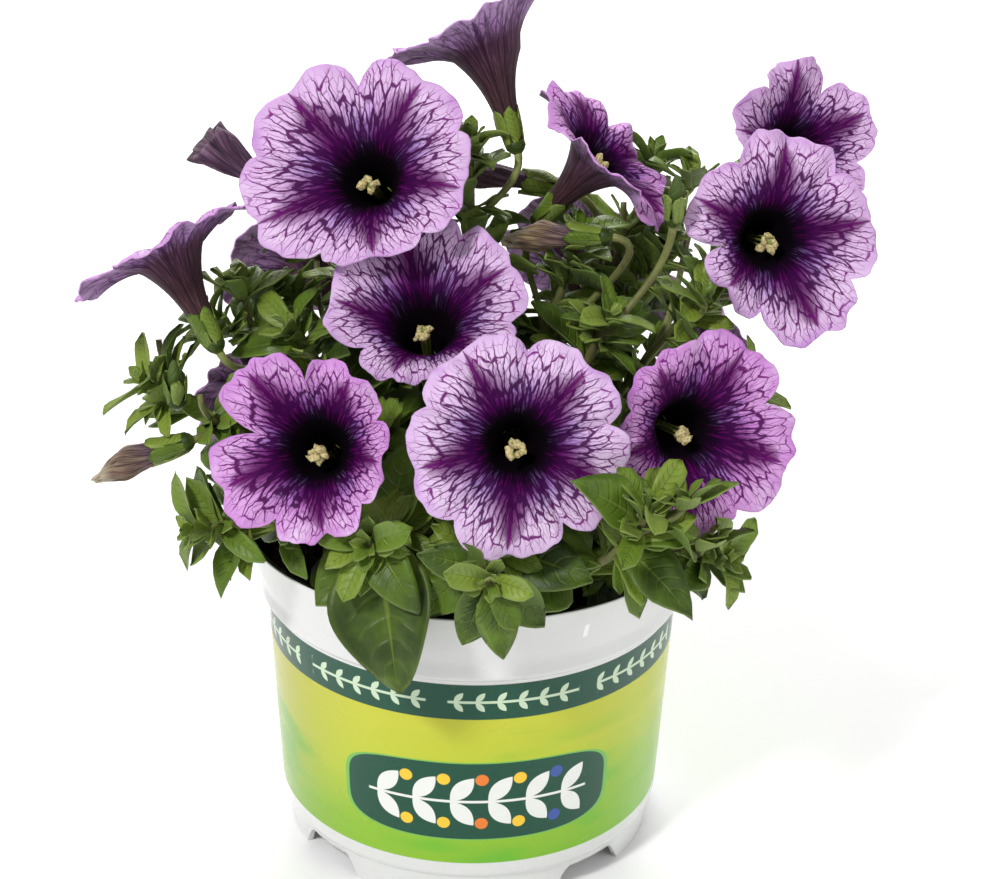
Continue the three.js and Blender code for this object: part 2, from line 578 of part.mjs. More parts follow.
// The soil: it fills the pot to a lumpy top, with a plain hole for each stem's root.
const SOIL_RINGS = [
  [0, FLOOR_TOP + FIT_GAP],
  [BODY_BOTTOM_RADIUS - POT_WALL - 0.6 - FIT_GAP * 1.6, FLOOR_TOP + FIT_GAP],
  [BODY_TOP_RADIUS - POT_WALL - FIT_GAP * 1.6, COLLAR_BOTTOM - GROOVE_DEPTH],
  [COLLAR_RADIUS - POT_WALL - 0.4 - FIT_GAP * 2, SOIL_LEVEL - 2.5],
  [37, SOIL_LEVEL],
  [18, SOIL_LEVEL],
  [0, SOIL_LEVEL],
];
const soilDraw = draws(SOIL_SEED);
const lumpRow = () => Array.from({ length: SOIL_COLUMNS }, () => (soilDraw() - 0.5) * SOIL_LUMP);
const soilLumps = SOIL_RINGS.map(lumpRow);

function soilPoint(column, row) {
  const [radius, height] = SOIL_RINGS[row];
  const turn = column / SOIL_COLUMNS * Math.PI * 2;
  const lump = row > 2 && radius > 0 ? soilLumps[row][column] : 0;
  return new THREE.Vector3(radius * Math.cos(turn), radius * Math.sin(turn), height + lump);
}

function rootHole(curve) {
  const start = curve.getPoint(0);
  const along = curve.getPoint(0.14).sub(start).normalize();
  const bottom = start.clone().addScaledVector(along, -0.6);
  const top = start.clone().addScaledVector(along, HOLE_DEPTH);
  return tube(new THREE.LineCurve3(bottom, top), STEM_RADIUS + HOLE_ROOM, 1);
}

let soil = skin(SOIL_COLUMNS, SOIL_RINGS.length - 1, soilPoint, (column) => column % 2 === 0);
for (const stem of STEMS) soil = soil.subtract(rootHole(stemCurve(stem)));

// Everything that a new leaf has to keep clear of, each with its owner and its box.
const placed = [];
const boxOf = (solid) => {
  const { min, max } = solid.boundingBox();
  return new THREE.Box3(vector(min), vector(max));
};

function note(owner, solid) {
  placed.push({ owner, solid, box: boxOf(solid).expandByScalar(CLEARANCE) });
}

function meetsAnother(owner, solid) {
  const box = boxOf(solid);
  return placed.some((other) => other.owner !== owner && box.intersectsBox(other.box)
    && solid.minGap(other.solid, CLEARANCE * 2) < CLEARANCE);
}

// Whether any edge of a solid is left without exactly two faces once hair-wide slivers are closed,
// which is so where two skins only graze each other.
function grazes(solid) {
  const mesh = solid.getMesh();
  for (const shift of [0, 0.5]) {
    const cells = new Map();
    const corner = (vertex) => {
      const first = vertex * mesh.numProp;
      const at = [0, 1, 2].map((k) => Math.round(mesh.vertProperties[first + k] / GRAZE + shift));
      const cell = at.join(' ');
      if (!cells.has(cell)) cells.set(cell, cells.size);
      return cells.get(cell);
    };
    const edges = new Map();
    for (let i = 0; i < mesh.triVerts.length; i += 3) {
      const face = [0, 1, 2].map((k) => corner(mesh.triVerts[i + k]));
      if (new Set(face).size < 3) continue;
      for (let k = 0; k < 3; k += 1) {
        const ends = [face[k], face[(k + 1) % 3]].sort((a, b) => a - b).join(' ');
        edges.set(ends, (edges.get(ends) ?? 0) + 1);
      }
    }
    if ([...edges.values()].some((count) => count !== 2)) return true;
  }
  return false;
}

// A stem with its stalks, cups, buds and hanging leaves, grown together.
function bareStem(stem, number) {
  const curve = stemCurve(stem);
  const solids = [tube(curve, STEM_RADIUS, STEM_STEPS)];
  for (const stalk of stem.stalks) {
    const end = stalkEnd(stalk);
    solids.push(tube(stalkCurve(curve, stalk), STALK_RADIUS, STALK_STEPS));
    solids.push(calyx(end, stalk.bud ? BUD_SEPAL_LENGTH : SEPAL_LENGTH));
    if (stalk.bud) solids.push(bud(end));
  }
  for (const hung of stem.hung ?? []) {
    solids.push(blade(hungLeaf(curve, hung), hung.broad ? BROAD_LEAF_FORM : LEAF_FORM));
  }
  for (const solid of solids) note(stem.name, solid);
  return { stem, number, curve, whole: joined(solids).simplify(SMALLEST_FACE) };
}

// Adds one leaf to a plant, at the first attempt that keeps clear of every other piece.
function growLeaf(plant, leafNumber) {
  const form = leafNumber >= plant.stem.leaves ? TUFT_LEAF_FORM : LEAF_FORM;
  for (let attempt = 0; attempt < TRIES; attempt += 1) {
    const leaf = leafOf(plant.stem, plant.number, plant.curve, leafNumber, attempt);
    const solid = blade(leaf, form);
    if (meetsAnother(plant.stem.name, solid)) continue;
    const grown = plant.whole.add(solid).simplify(SMALLEST_FACE);
    if (grazes(grown)) continue;
    note(plant.stem.name, solid);
    plant.whole = grown;
    return;
  }
}

note('pot', pot);
note('soil', soil);
const blooms = BLOOMS.map((bloom) => ({ name: bloom.name, solid: corolla(bloom) }));
const wilts = WITHERED_BLOOMS.map((wilt, number) => ({
  name: wilt.name,
  solid: witheredCorolla(wilt, number),
}));
for (const { name, solid } of [...blooms, ...wilts]) note(name, solid);

const plants = STEMS.map(bareStem);
const mostLeaves = Math.max(...STEMS.map((stem) => stem.leaves)) + TUFT_LEAVES;
for (let leafNumber = 0; leafNumber < mostLeaves; leafNumber += 1) {
  for (const plant of plants) {
    if (leafNumber < plant.stem.leaves + TUFT_LEAVES) growLeaf(plant, leafNumber);
  }
}

const group = new THREE.Group();
group.add(meshOf('pot', pot, WHITE_PLASTIC));
group.add(meshOf('soil', soil, POTTING_SOIL));
for (const { name, solid } of blooms) group.add(meshOf(name, solid, PETALS));
for (const { name, solid } of wilts) group.add(meshOf(name, solid, WITHERED));
for (const { stem, whole } of plants) group.add(meshOf(stem.name, whole, FOLIAGE));

export default group;
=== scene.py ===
# A potted petunia: a thin white nursery pot with a printed band and panel, crumbly potting soil,
# hairy leafy stems, violet blooms with a net of dark veins, closed buds and a few withered blooms.
# Metres, +Z up. The front of the plant faces -Y.
import math
import random

import bmesh
import bpy
from mathutils import Matrix, Vector, noise
from mathutils.bvhtree import BVHTree


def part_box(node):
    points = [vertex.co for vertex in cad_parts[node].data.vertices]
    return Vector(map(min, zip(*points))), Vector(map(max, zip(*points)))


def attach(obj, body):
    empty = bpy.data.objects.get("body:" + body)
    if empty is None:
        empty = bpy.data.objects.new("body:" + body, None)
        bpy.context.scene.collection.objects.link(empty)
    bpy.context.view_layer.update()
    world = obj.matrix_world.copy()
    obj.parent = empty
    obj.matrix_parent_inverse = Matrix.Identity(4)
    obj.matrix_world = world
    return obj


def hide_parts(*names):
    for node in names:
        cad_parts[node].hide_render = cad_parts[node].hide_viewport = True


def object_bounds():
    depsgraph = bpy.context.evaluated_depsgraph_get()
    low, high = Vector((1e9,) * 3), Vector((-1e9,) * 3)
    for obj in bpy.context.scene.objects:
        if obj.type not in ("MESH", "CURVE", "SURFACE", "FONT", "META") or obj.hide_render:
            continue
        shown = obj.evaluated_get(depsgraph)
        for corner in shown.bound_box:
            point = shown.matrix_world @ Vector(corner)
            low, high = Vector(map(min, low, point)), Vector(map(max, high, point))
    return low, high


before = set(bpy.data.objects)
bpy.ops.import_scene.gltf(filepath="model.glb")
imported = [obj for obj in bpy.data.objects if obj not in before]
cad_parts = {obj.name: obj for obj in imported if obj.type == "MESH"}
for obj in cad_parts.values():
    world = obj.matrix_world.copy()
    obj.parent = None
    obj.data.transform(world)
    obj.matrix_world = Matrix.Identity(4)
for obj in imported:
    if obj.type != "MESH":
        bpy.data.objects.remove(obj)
cad_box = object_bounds()

# ---------------------------------------------------------------------------------------------
# The studio: a camera that looks down on the pot, a pale floor, one fairly small lamp high on the left, a
# broad soft lamp on the right, one behind the plant, one that lights the floor behind it, and an even white
# surround.
# ---------------------------------------------------------------------------------------------
MM = 0.001
SENSOR = 36.0
SURROUND_STRENGTH = 0.4
FLOOR_REACH = 3.0
CAMERA_LENS = 81.2
CAMERA_PLACE = (0, -0.523, 0.348)
CAMERA_DOWN = math.radians(24.7)
CAMERA_ROLL = math.radians(0.8)
CAMERA_SHIFT = 0.0263


def stand(name, data):
    """Puts a new object into the scene."""
    made = bpy.data.objects.new(name, data)
    bpy.context.scene.collection.objects.link(made)
    return made


view = bpy.data.cameras.new("camera")
view.lens = CAMERA_LENS
view.sensor_width = SENSOR
view.sensor_fit = "HORIZONTAL"
view.shift_x = CAMERA_SHIFT
camera = stand("camera", view)
aim = Matrix.Rotation(math.pi / 2 - CAMERA_DOWN, 4, "X") @ Matrix.Rotation(CAMERA_ROLL, 4, "Z")
camera.matrix_world = Matrix.Translation(CAMERA_PLACE) @ aim
bpy.context.scene.camera = camera
bpy.context.scene.view_settings.view_transform = "Standard"


def colour(red, green, blue):
    """A colour given from 0 to 255, as the shaders want it."""
    def straight(value):
        share = value / 255
        return share / 12.92 if share < 0.0405 else ((share + 0.055) / 1.055) ** 2.4
    return straight(red), straight(green), straight(blue), 1.0


def worked(operation, turned=False):
    """How a signal answers a plain sum: with a new math node. Turned puts the other value first."""
    def work(*values):
        return values[0].wires.sum(operation, *(reversed(values) if turned else values))
    return work


class Signal:
    """A value on a wire of a shader. Plain sums with it add the nodes that work them out."""
    __add__, __radd__ = worked("ADD"), worked("ADD", True)
    __sub__, __rsub__ = worked("SUBTRACT"), worked("SUBTRACT", True)
    __mul__, __rmul__ = worked("MULTIPLY"), worked("MULTIPLY", True)
    __truediv__, __pow__, __abs__ = worked("DIVIDE"), worked("POWER"), worked("ABSOLUTE")

    def __init__(self, wires, socket):
        self.wires = wires
        self.socket = socket


class Wiring:
    """Adds shader nodes to a tree and joins them. A value is a number, a colour or a signal."""

    def __init__(self, tree):
        self.tree = tree

    def give(self, socket, value):
        if isinstance(value, Signal):
            self.tree.links.new(value.socket, socket)
        else:
            socket.default_value = value

    def add(self, kind, inputs, **settings):
        node = self.tree.nodes.new("ShaderNode" + kind)
        for name, value in settings.items():
            setattr(node, name, value)
        for name, value in inputs.items():
            self.give(node.inputs[name], value)
        return node

    def get(self, kind, inputs, output=0, **settings):
        """The signal that a new node gives."""
        return Signal(self, self.add(kind, inputs, **settings).outputs[output])

    def sum(self, operation, *values):
        return self.get("Math", dict(enumerate(values)), operation=operation)

    def step(self, value, low, high, start=0.0, end=1.0):
        """A smooth step of value from start, at low, to end, at high."""
        ends = {"Value": value, "From Min": low, "From Max": high, "To Min": start, "To Max": end}
        return self.get("MapRange", ends, interpolation_type="SMOOTHSTEP")

    def blend(self, share, first, second, way="MIX"):
        return self.get("Mix", {0: share, 6: first, 7: second}, 2, data_type="RGBA", blend_type=way)

    def ramp(self, value, stops, way="LINEAR"):
        """A colour that follows a value through stops, each given as its place and its colour."""
        node = self.add("ValToRGB", {"Fac": value})
        node.color_ramp.interpolation = way
        marks = node.color_ramp.elements
        while len(marks) < len(stops):
            marks.new(0.5)
        for mark, (place, *shade) in zip(marks, stops):
            mark.position = place
            mark.color = colour(*shade)
        return Signal(self, node.outputs["Color"])

    def point(self, x, y, z=0.0):
        return self.get("CombineXYZ", {"X": x, "Y": y, "Z": z})

    def parts(self, vector):
        return [Signal(self, part) for part in self.add("SeparateXYZ", {"Vector": vector}).outputs]

    def cloud(self, vector, scale, detail=3.0, rough=0.55):
        return self.get("TexNoise", {"Vector": vector, "Scale": scale, "Detail": detail, "Roughness": rough})

    def bump(self, height, distance, strength=1.0):
        return self.get("Bump", {"Height": height, "Distance": distance, "Strength": strength})

    def place(self):
        """The place on the object, in metres."""
        return self.get("TexCoord", {}, "Object")

    def own_place(self):
        """The place in the piece's own UV map."""
        return self.get("UVMap", {}, uv_map="UVMap")

    def attribute(self, name):
        return self.get("Attribute", {}, "Fac", attribute_name=name)

    def group(self, tree, **values):
        """What an effect gives for these values, by name."""
        node = self.add("Group", values, node_tree=tree)
        return {socket.name: Signal(self, socket) for socket in node.outputs}


class Finish(Wiring):
    """A new material, with the constants of its shader set on it."""

    def __init__(self, name, **constants):
        self.made = bpy.data.materials.new(name)
        self.made.use_nodes = True
        super().__init__(self.made.node_tree)
        self.set(**constants)

    def set(self, **values):
        """Gives values to the shader's sockets, with _ for the spaces in their names."""
        shader = self.tree.nodes["Principled BSDF"]
        for label, value in values.items():
            self.give(shader.inputs[label.replace("_", " ")], value)
        return self.made


class Effect(Wiring):
    """A new shader group, with the signals that it takes and the names of those that it gives."""

    def __init__(self, name, takes, gives):
        super().__init__(bpy.data.node_groups.new(name, "ShaderNodeTree"))
        for label, value in takes.items():
            kind = "NodeSocketVector" if isinstance(value, tuple) else "NodeSocketFloat"
            self.tree.interface.new_socket(label, in_out="INPUT", socket_type=kind).default_value = value
        for label in gives:
            self.tree.interface.new_socket(label, in_out="OUTPUT", socket_type="NodeSocketFloat")
        start = self.tree.nodes.new("NodeGroupInput")
        self.take = {socket.name: Signal(self, socket) for socket in start.outputs}
        self.end = self.tree.nodes.new("NodeGroupOutput")

    def set(self, **values):
        for label, value in values.items():
            self.give(self.end.inputs[label], value)
        return self.tree


def mesh_of(name, body, *materials):
    """Turns a finished bmesh into a mesh with its materials."""
    data = bpy.data.meshes.new(name)
    body.to_mesh(data)
    body.free()
    for one in materials:
        data.materials.append(one)
    return data


paper = Finish("studio_paper", Roughness=0.9)
paper_spot = paper.cloud(paper.place(), 6.0)
paper.set(Base_Color=paper.blend(paper_spot, colour(250, 250, 250), colour(252, 252, 252)))
floor_body = bmesh.new()
bmesh.ops.create_grid(floor_body, x_segments=1, y_segments=1, size=FLOOR_REACH)
floor = stand("floor", mesh_of("floor", floor_body, paper.made))

world = bpy.data.worlds.new("surround")
world.use_nodes = True
world.node_tree.nodes["Background"].inputs["Color"].default_value = (1, 1, 1, 1)
world.node_tree.nodes["Background"].inputs["Strength"].default_value = SURROUND_STRENGTH
bpy.context.scene.world = world


def lamp(name, place, target, size, watts):
    """A round soft lamp, turned to its target."""
    light = bpy.data.lights.new(name, "AREA")
    light.shape = "DISK"
    light.size = size
    light.energy = watts
    holder = stand(name, light)
    holder.location = place
    holder.rotation_euler = (Vector(target) - Vector(place)).to_track_quat("-Z", "Y").to_euler()


lamp("key_lamp", (-0.62, -0.85, 1.15), (0, 0, 0.1), 0.22, 12.5)
lamp("fill_lamp", (0.95, -0.75, 0.7), (0, 0, 0.1), 0.9, 3.2)
lamp("rim_lamp", (-0.3, 1.1, 0.9), (0, 0, 0.15), 0.7, 5)
lamp("backdrop_lamp", (0.2, 1.6, 1.2), (0.2, 0.7, 0), 1.2, 26)


def bend(body, columns, rows, place, mark):
    """Adds a grid of squares to a bmesh and bends it, so that place(across, along) gives each of
    its corners and mark(across, along) its UV. Across and along run from 0 to 1."""
    grid = bmesh.ops.create_grid(body, x_segments=columns, y_segments=rows, size=0.5)["verts"]
    layer = body.loops.layers.uv.get("UVMap") or body.loops.layers.uv.new("UVMap")
    shares = {corner: (corner.co.x + 0.5, corner.co.y + 0.5) for corner in grid}
    faces = list({face for corner in grid for face in corner.link_faces})
    for face in faces:
        face.smooth = True
        for loop in face.loops:
            loop[layer].uv = mark(*shares[loop.vert])
    for corner, (across, along) in shares.items():
        corner.co = place(across, along)
    return grid, faces


def piece(name, body, materials, slot, *replaced):
    """Hands a finished bmesh in as a piece of the object, in place of the plain nodes named."""
    made = stand(name, mesh_of(name, body, *materials))
    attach(made, "root")
    if replaced:
        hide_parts(*replaced)
    return made


# ---------------------------------------------------------------------------------------------
# The pot: one thin thermoformed shell, white outside and black inside, with a flared collar, a
# groove under it, a notched foot and a drained floor. The band and the panel are printed on.
# ---------------------------------------------------------------------------------------------
pot_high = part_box("pot")[1]
POT_HEIGHT = pot_high.z
RIM_RADIUS = pot_high.x
WALL = 1.3 * MM
RIM_WALL = 1.6 * MM
RIM_FLARE = 6 * MM
COLLAR_BOTTOM = 69 * MM
COLLAR_STEP = 4.5 * MM
COLLAR_RADIUS = 55.2 * MM
INNER_COLLAR = COLLAR_RADIUS - WALL - 0.4 * MM
GROOVE = 1.5 * MM
BODY_TOP_RADIUS = 53.4 * MM
BODY_BOTTOM_RADIUS = 50.4 * MM
INNER_FLOOR = BODY_BOTTOM_RADIUS - WALL - 0.6 * MM
SMALL_ROUND = 0.8 * MM
LARGE_ROUND = 1.6 * MM
FOOT_STEP = 8.6 * MM
FOOT_RADIUS = 48.4 * MM
FLOOR_UNDERSIDE = 6.6 * MM
FLOOR_TOP = FLOOR_UNDERSIDE + WALL
PAD_RADIUS = 17 * MM
SKIRT_INNER = FOOT_RADIUS - 1.6 * MM
NOTCH_WIDTH = 21 * MM
NOTCH_HEIGHT = 5.6 * MM
NOTCH_SLANT = 3.2 * MM
NOTCH_TURNS = (-49, 41, 131, 221)
DRAIN_HOLES = 6
DRAIN_RADIUS = 3 * MM
DRAIN_CIRCLE = 33 * MM
POT_STEPS = 240
BAND_BOTTOM = 56.6 * MM
BAND_TOP = 66.7 * MM
PRINT_BOTTOM = 13 * MM
PANEL_MIDDLE = 32 * MM
PANEL_ASIDE = 2.5 * MM
PANEL_HALF_WIDTH = 35 * MM
PANEL_HALF_HEIGHT = 11.5 * MM
PANEL_PITCH = 9.6 * MM
BERRY_HEIGHT = 6.6 * MM
PRINT_EDGE = 0.1 * MM
# Where the painted highlight sits on the collar: its turn about the axis and its height.
HIGHLIGHT_TURN = 0.505
HIGHLIGHT_HEIGHT = 80.4 * MM

# Radius, height and how far the corner there is rounded.
POT_PROFILE = [
    (0, 0, 0),
    (PAD_RADIUS, 0, SMALL_ROUND),
    (PAD_RADIUS + 4.6 * MM, FLOOR_UNDERSIDE, 1.2 * MM),
    (SKIRT_INNER, FLOOR_UNDERSIDE, SMALL_ROUND),
    (SKIRT_INNER, 0, 0.25 * MM),
    (FOOT_RADIUS, 0, 0.4 * MM),
    (FOOT_RADIUS + 0.8 * MM, FOOT_STEP - 0.8 * MM, 0.5 * MM),
    (BODY_BOTTOM_RADIUS, FOOT_STEP + 0.6 * MM, 0.9 * MM),
    (BODY_TOP_RADIUS, COLLAR_BOTTOM - GROOVE, SMALL_ROUND),
    (COLLAR_RADIUS, COLLAR_BOTTOM, 0.9 * MM),
    (COLLAR_RADIUS, COLLAR_BOTTOM + COLLAR_STEP, 1.4 * MM),
    (RIM_RADIUS - 2 * MM, POT_HEIGHT - RIM_FLARE, LARGE_ROUND),
    (RIM_RADIUS, POT_HEIGHT, 0.6 * MM),
    (RIM_RADIUS - RIM_WALL, POT_HEIGHT, 0.6 * MM),
    (RIM_RADIUS - 2 * MM - RIM_WALL, POT_HEIGHT - RIM_FLARE, LARGE_ROUND),
    (INNER_COLLAR, COLLAR_BOTTOM + COLLAR_STEP, 1.4 * MM),
    (BODY_TOP_RADIUS - WALL, COLLAR_BOTTOM - GROOVE, 1.2 * MM),
    (INNER_FLOOR, FLOOR_TOP, LARGE_ROUND),
    (PAD_RADIUS + 6 * MM, FLOOR_TOP, 1.2 * MM),
    (PAD_RADIUS + 0.6 * MM, WALL, SMALL_ROUND),
    (0, WALL, 0),
]


def bowed(first, middle, last, share):
    """A point on the smooth bend from first to last that leans towards middle."""
    return first.lerp(middle, share).lerp(middle.lerp(last, share), share)


def rounded(profile, steps=5):
    """The profile's points, with each corner drawn as a small smooth bend."""
    points = []
    for number, (radius, height, round_by) in enumerate(profile):
        corner = Vector((radius, 0, height))
        if not round_by:
            points.append(corner)
            continue
        ends = []
        for other in (profile[number - 1], profile[number + 1]):
            side = Vector((other[0], 0, other[1])) - corner
            ends.append(corner + side.normalized() * min(round_by, side.length * 0.45))
        points += [bowed(ends[0], corner, ends[1], step / steps) for step in range(steps + 1)]
    return points


def spun(profile, steps):
    """A closed body made by turning a profile that starts and ends on the axis."""
    body = bmesh.new()
    corners = [body.verts.new(point) for point in rounded(profile)]
    edges = [body.edges.new(pair) for pair in zip(corners, corners[1:])]
    bmesh.ops.spin(body, geom=corners + edges, cent=(0, 0, 0), axis=(0, 0, 1),
                   angle=math.tau, steps=steps, use_merge=True)
    bmesh.ops.remove_doubles(body, verts=body.verts, dist=1e-6)
    bmesh.ops.recalc_face_normals(body, faces=body.faces)
    for face in body.faces:
        face.smooth = True
    return body


def notch_height(turn):
    """How high the foot is cut away at a turn about the axis: an arch with short slanted sides."""
    nearest = min(abs((turn - middle + 180) % 360 - 180) for middle in NOTCH_TURNS)
    across = NOTCH_WIDTH / 2 - math.radians(nearest) * FOOT_RADIUS
    return NOTCH_HEIGHT * min(max(across / NOTCH_SLANT, 0), 1) ** 0.6


pot_body = spun(POT_PROFILE, POT_STEPS)
for corner in pot_body.verts:
    if corner.co.z < 0.5 * MM and corner.co.xy.length > SKIRT_INNER - 0.5 * MM:
        turn = math.degrees(math.atan2(corner.co.x, -corner.co.y))
        corner.co.z += notch_height(turn)
for face in pot_body.faces:
    middle = face.calc_center_median()
    faces_out = face.normal.dot(Vector((middle.x, middle.y, 0)).normalized())
    on_rim = middle.z > POT_HEIGHT - 0.3 * MM and middle.xy.length < RIM_RADIUS - 0.5 * MM
    above_floor = middle.z > FLOOR_TOP - 0.4 * MM or middle.xy.length < PAD_RADIUS + 7 * MM
    if on_rim or (above_floor and (faces_out < -0.1 or (face.normal.z > 0.5 and middle.z < 20 * MM))):
        face.material_index = 1


def leaf_marks():
    """A row of small slanted leaves on both sides of a thin line, for prints. Sizes are in metres."""
    wires = Effect("leaf_marks", {"Along": 0.0, "Up": 0.0, "Pitch": 8 * MM, "Length": 6 * MM,
                                  "Width": 3 * MM}, ("Mask",))
    take = wires.take
    slant_out, slant_up = 0.64, 0.77
    across = (wires.sum("FRACT", take["Along"] / take["Pitch"]) - 0.25) * take["Pitch"]
    up = abs(take["Up"])
    share = (across * slant_out + up * slant_up) / take["Length"]
    aside = up * slant_out - across * slant_up
    belly = wires.sum("MAXIMUM", share * (1.0 - share) * 4.0, 0.0)
    leaf = wires.step(belly * take["Width"] * 0.5 - abs(aside), 0.0, 0.12 * MM)
    line = wires.step(up, 0.45 * MM, 0.3 * MM)
    return wires.set(Mask=wires.sum("MAXIMUM", leaf, line))


LEAF_MARKS = leaf_marks()


def printed_plastic():
    """Glossy white plastic with a print round it: a lime field that fades from yellow-green, a dark
    green band of pale sprigs over it, and a dark green panel with one large pale sprig in front."""
    wires = Finish("printed_white_plastic", Roughness=0.26, Coat_Weight=0.12,
                   Coat_Roughness=0.08, Specular_IOR_Level=0.32)
    place = wires.place()
    x, y, z = wires.parts(place)
    turn = wires.sum("ARCTAN2", x, y * -1.0)
    around = turn * ((BODY_TOP_RADIUS + BODY_BOTTOM_RADIUS) / 2)

    def streaks(wide, tall, detail):
        """Soft clouds that are drawn out round the pot."""
        return wires.cloud(wires.point(x * wide, y * wide, z * tall), 1.0, detail)

    fade = z * -17.0 + x * 2.2 + 0.95 + streaks(22.0, 96.0, 2.0) * 0.3
    lime = wires.ramp(fade, [(0.05, 204, 204, 66), (0.4, 192, 204, 60), (0.7, 150, 194, 54),
                             (1.0, 124, 188, 48)])
    brush = wires.step(streaks(22.0, 240.0, 3.0), 0.6, 0.8, 0.0, 0.35)
    lime = wires.blend(brush, lime, colour(120, 176, 44))
    smear = wires.step(streaks(30.0, 110.0, 1.0), 0.52, 0.7, 0.0, 0.6) * wires.step(z, 54 * MM, 40 * MM)
    lime = wires.blend(smear, lime, colour(96, 186, 52))
    # Painted shade: the print is darkened and warmed towards the pot's left side.
    left_painted_shade = wires.step(x, -25 * MM, -52 * MM, 1.0, 0.76)
    lime = wires.blend(1.0, lime, wires.point(left_painted_shade, left_painted_shade, left_painted_shade * 0.85), "MULTIPLY")

    fine = wires.cloud(place, 700.0, 2.0)
    green = wires.blend(fine, colour(20, 74, 56), colour(28, 84, 64))
    # The band's row of leaves is broken into short sprigs with a plain gap between them.
    leaves = wires.group(LEAF_MARKS, Along=around, Up=z - (BAND_BOTTOM + BAND_TOP) / 2,
                         Pitch=5.2 * MM, Length=3.6 * MM, Width=1.7 * MM)["Mask"]
    sprig = wires.step(wires.sum("PINGPONG", around + 8 * MM, 19 * MM), 2.4 * MM, 2.9 * MM)
    band = wires.blend(leaves * sprig, green, colour(206, 226, 196))

    up = z - PANEL_MIDDLE
    beside = around - PANEL_ASIDE
    oval = abs(beside / PANEL_HALF_WIDTH) ** 4.0 + abs(up / PANEL_HALF_HEIGHT) ** 4.0
    leaves = wires.group(LEAF_MARKS, Along=beside, Up=up, Pitch=PANEL_PITCH, Length=9.4 * MM,
                         Width=4.6 * MM)["Mask"]
    sprig = wires.step(abs(beside), 29 * MM, 28.6 * MM)
    panel = wires.blend(leaves * sprig, green, colour(240, 242, 236))
    # Small round berries in warm and blue tints sit beside the panel's leaves.
    cell = beside / PANEL_PITCH + 0.42
    off = (wires.sum("FRACT", cell) - 0.5) * PANEL_PITCH
    lift = abs(up) - BERRY_HEIGHT
    berry = wires.step(wires.sum("SQRT", off * off + lift * lift), 1.75 * MM, 1.6 * MM)
    berry = berry * wires.step(abs(beside), 24.8 * MM, 24.6 * MM)
    kind = wires.get("TexWhiteNoise", {"W": wires.sum("FLOOR", cell)}, noise_dimensions="1D")
    tint = wires.ramp(kind, [(0.0, 250, 205, 60), (1 / 3, 238, 130, 50), (2 / 3, 64, 92, 168)], "CONSTANT")
    panel = wires.blend(berry, panel, tint)

    label = wires.blend(wires.step(oval, 1.13, 1.1), lime, colour(120, 190, 90))
    label = wires.blend(wires.step(oval, 1.0, 0.97), label, panel)
    label = wires.blend(wires.step(z, BAND_BOTTOM - PRINT_EDGE, BAND_BOTTOM + PRINT_EDGE), label, band)
    printed = (wires.step(z, PRINT_BOTTOM - PRINT_EDGE, PRINT_BOTTOM + PRINT_EDGE)
               * wires.step(z, BAND_TOP + PRINT_EDGE, BAND_TOP - PRINT_EDGE))
    white = wires.blend(fine, colour(222, 223, 222), colour(230, 230, 228))
    # A painted highlight on the collar, right of the middle: a short bright upright spot that stands for a
    # lamp's reflection.
    mark = wires.sum("MAXIMUM", abs(turn - HIGHLIGHT_TURN), abs(z - HIGHLIGHT_HEIGHT) * 5.6)
    white = wires.blend(wires.step(mark, 0.0115, 0.0105), white, colour(252, 252, 252))
    dull = wires.step(wires.cloud(place, 55.0, 4.0), 0.3, 0.8, 0.17, 0.27)
    relief = wires.cloud(place, 28.0, 2.0) + printed * 0.35
    return wires.set(Base_Color=wires.blend(printed, white, label), Roughness=dull + printed * 0.05,
                     Normal=wires.bump(relief, 0.12 * MM, 0.6))


def black_plastic():
    """The pot's inner layer: black plastic, duller than the outside, with a trace of dust."""
    wires = Finish("black_plastic", Roughness=0.4)
    place = wires.place()
    dust = wires.step(wires.cloud(place, 120.0, 5.0), 0.5, 0.8)
    return wires.set(Base_Color=wires.blend(dust, colour(24, 25, 30), colour(58, 54, 50)),
                     Roughness=dust * 0.3 + 0.32, Normal=wires.bump(wires.cloud(place, 300.0), 0.05 * MM))


pot = piece("pot_shell", pot_body, (printed_plastic(), black_plastic()), "pot_plastic", "pot")
drill_body = bmesh.new()
for number in range(DRAIN_HOLES):
    turn = math.radians(number * 360 / DRAIN_HOLES + 30)
    at = Matrix.Translation((DRAIN_CIRCLE * math.cos(turn), DRAIN_CIRCLE * math.sin(turn), FLOOR_UNDERSIDE))
    bmesh.ops.create_cone(drill_body, cap_ends=True, segments=28, radius1=DRAIN_RADIUS,
                          radius2=DRAIN_RADIUS, depth=8 * MM, matrix=at)
drill = stand("drill", mesh_of("drill", drill_body))
holes = pot.modifiers.new("drain_holes", "BOOLEAN")
holes.object = drill
holes.operation = "DIFFERENCE"
holes.solver = "EXACT"
bpy.context.view_layer.update()
drilled = bpy.data.meshes.new_from_object(pot.evaluated_get(bpy.context.evaluated_depsgraph_get()))
pot.modifiers.remove(holes)
pot.data = drilled
bpy.data.objects.remove(drill)
even = pot.modifiers.new("even_shading", "WEIGHTED_NORMAL")
even.keep_sharp = True

# ---------------------------------------------------------------------------------------------
# The soil: dark peat that fills the pot to a lumpy top a little under the rim, with loose crumbs.
# The stems stand in it.
# ---------------------------------------------------------------------------------------------
SOIL_LEVEL = 75 * MM
SOIL_GAP = 0.6 * MM
SOIL_RINGS = 26
CRUMBS = 420

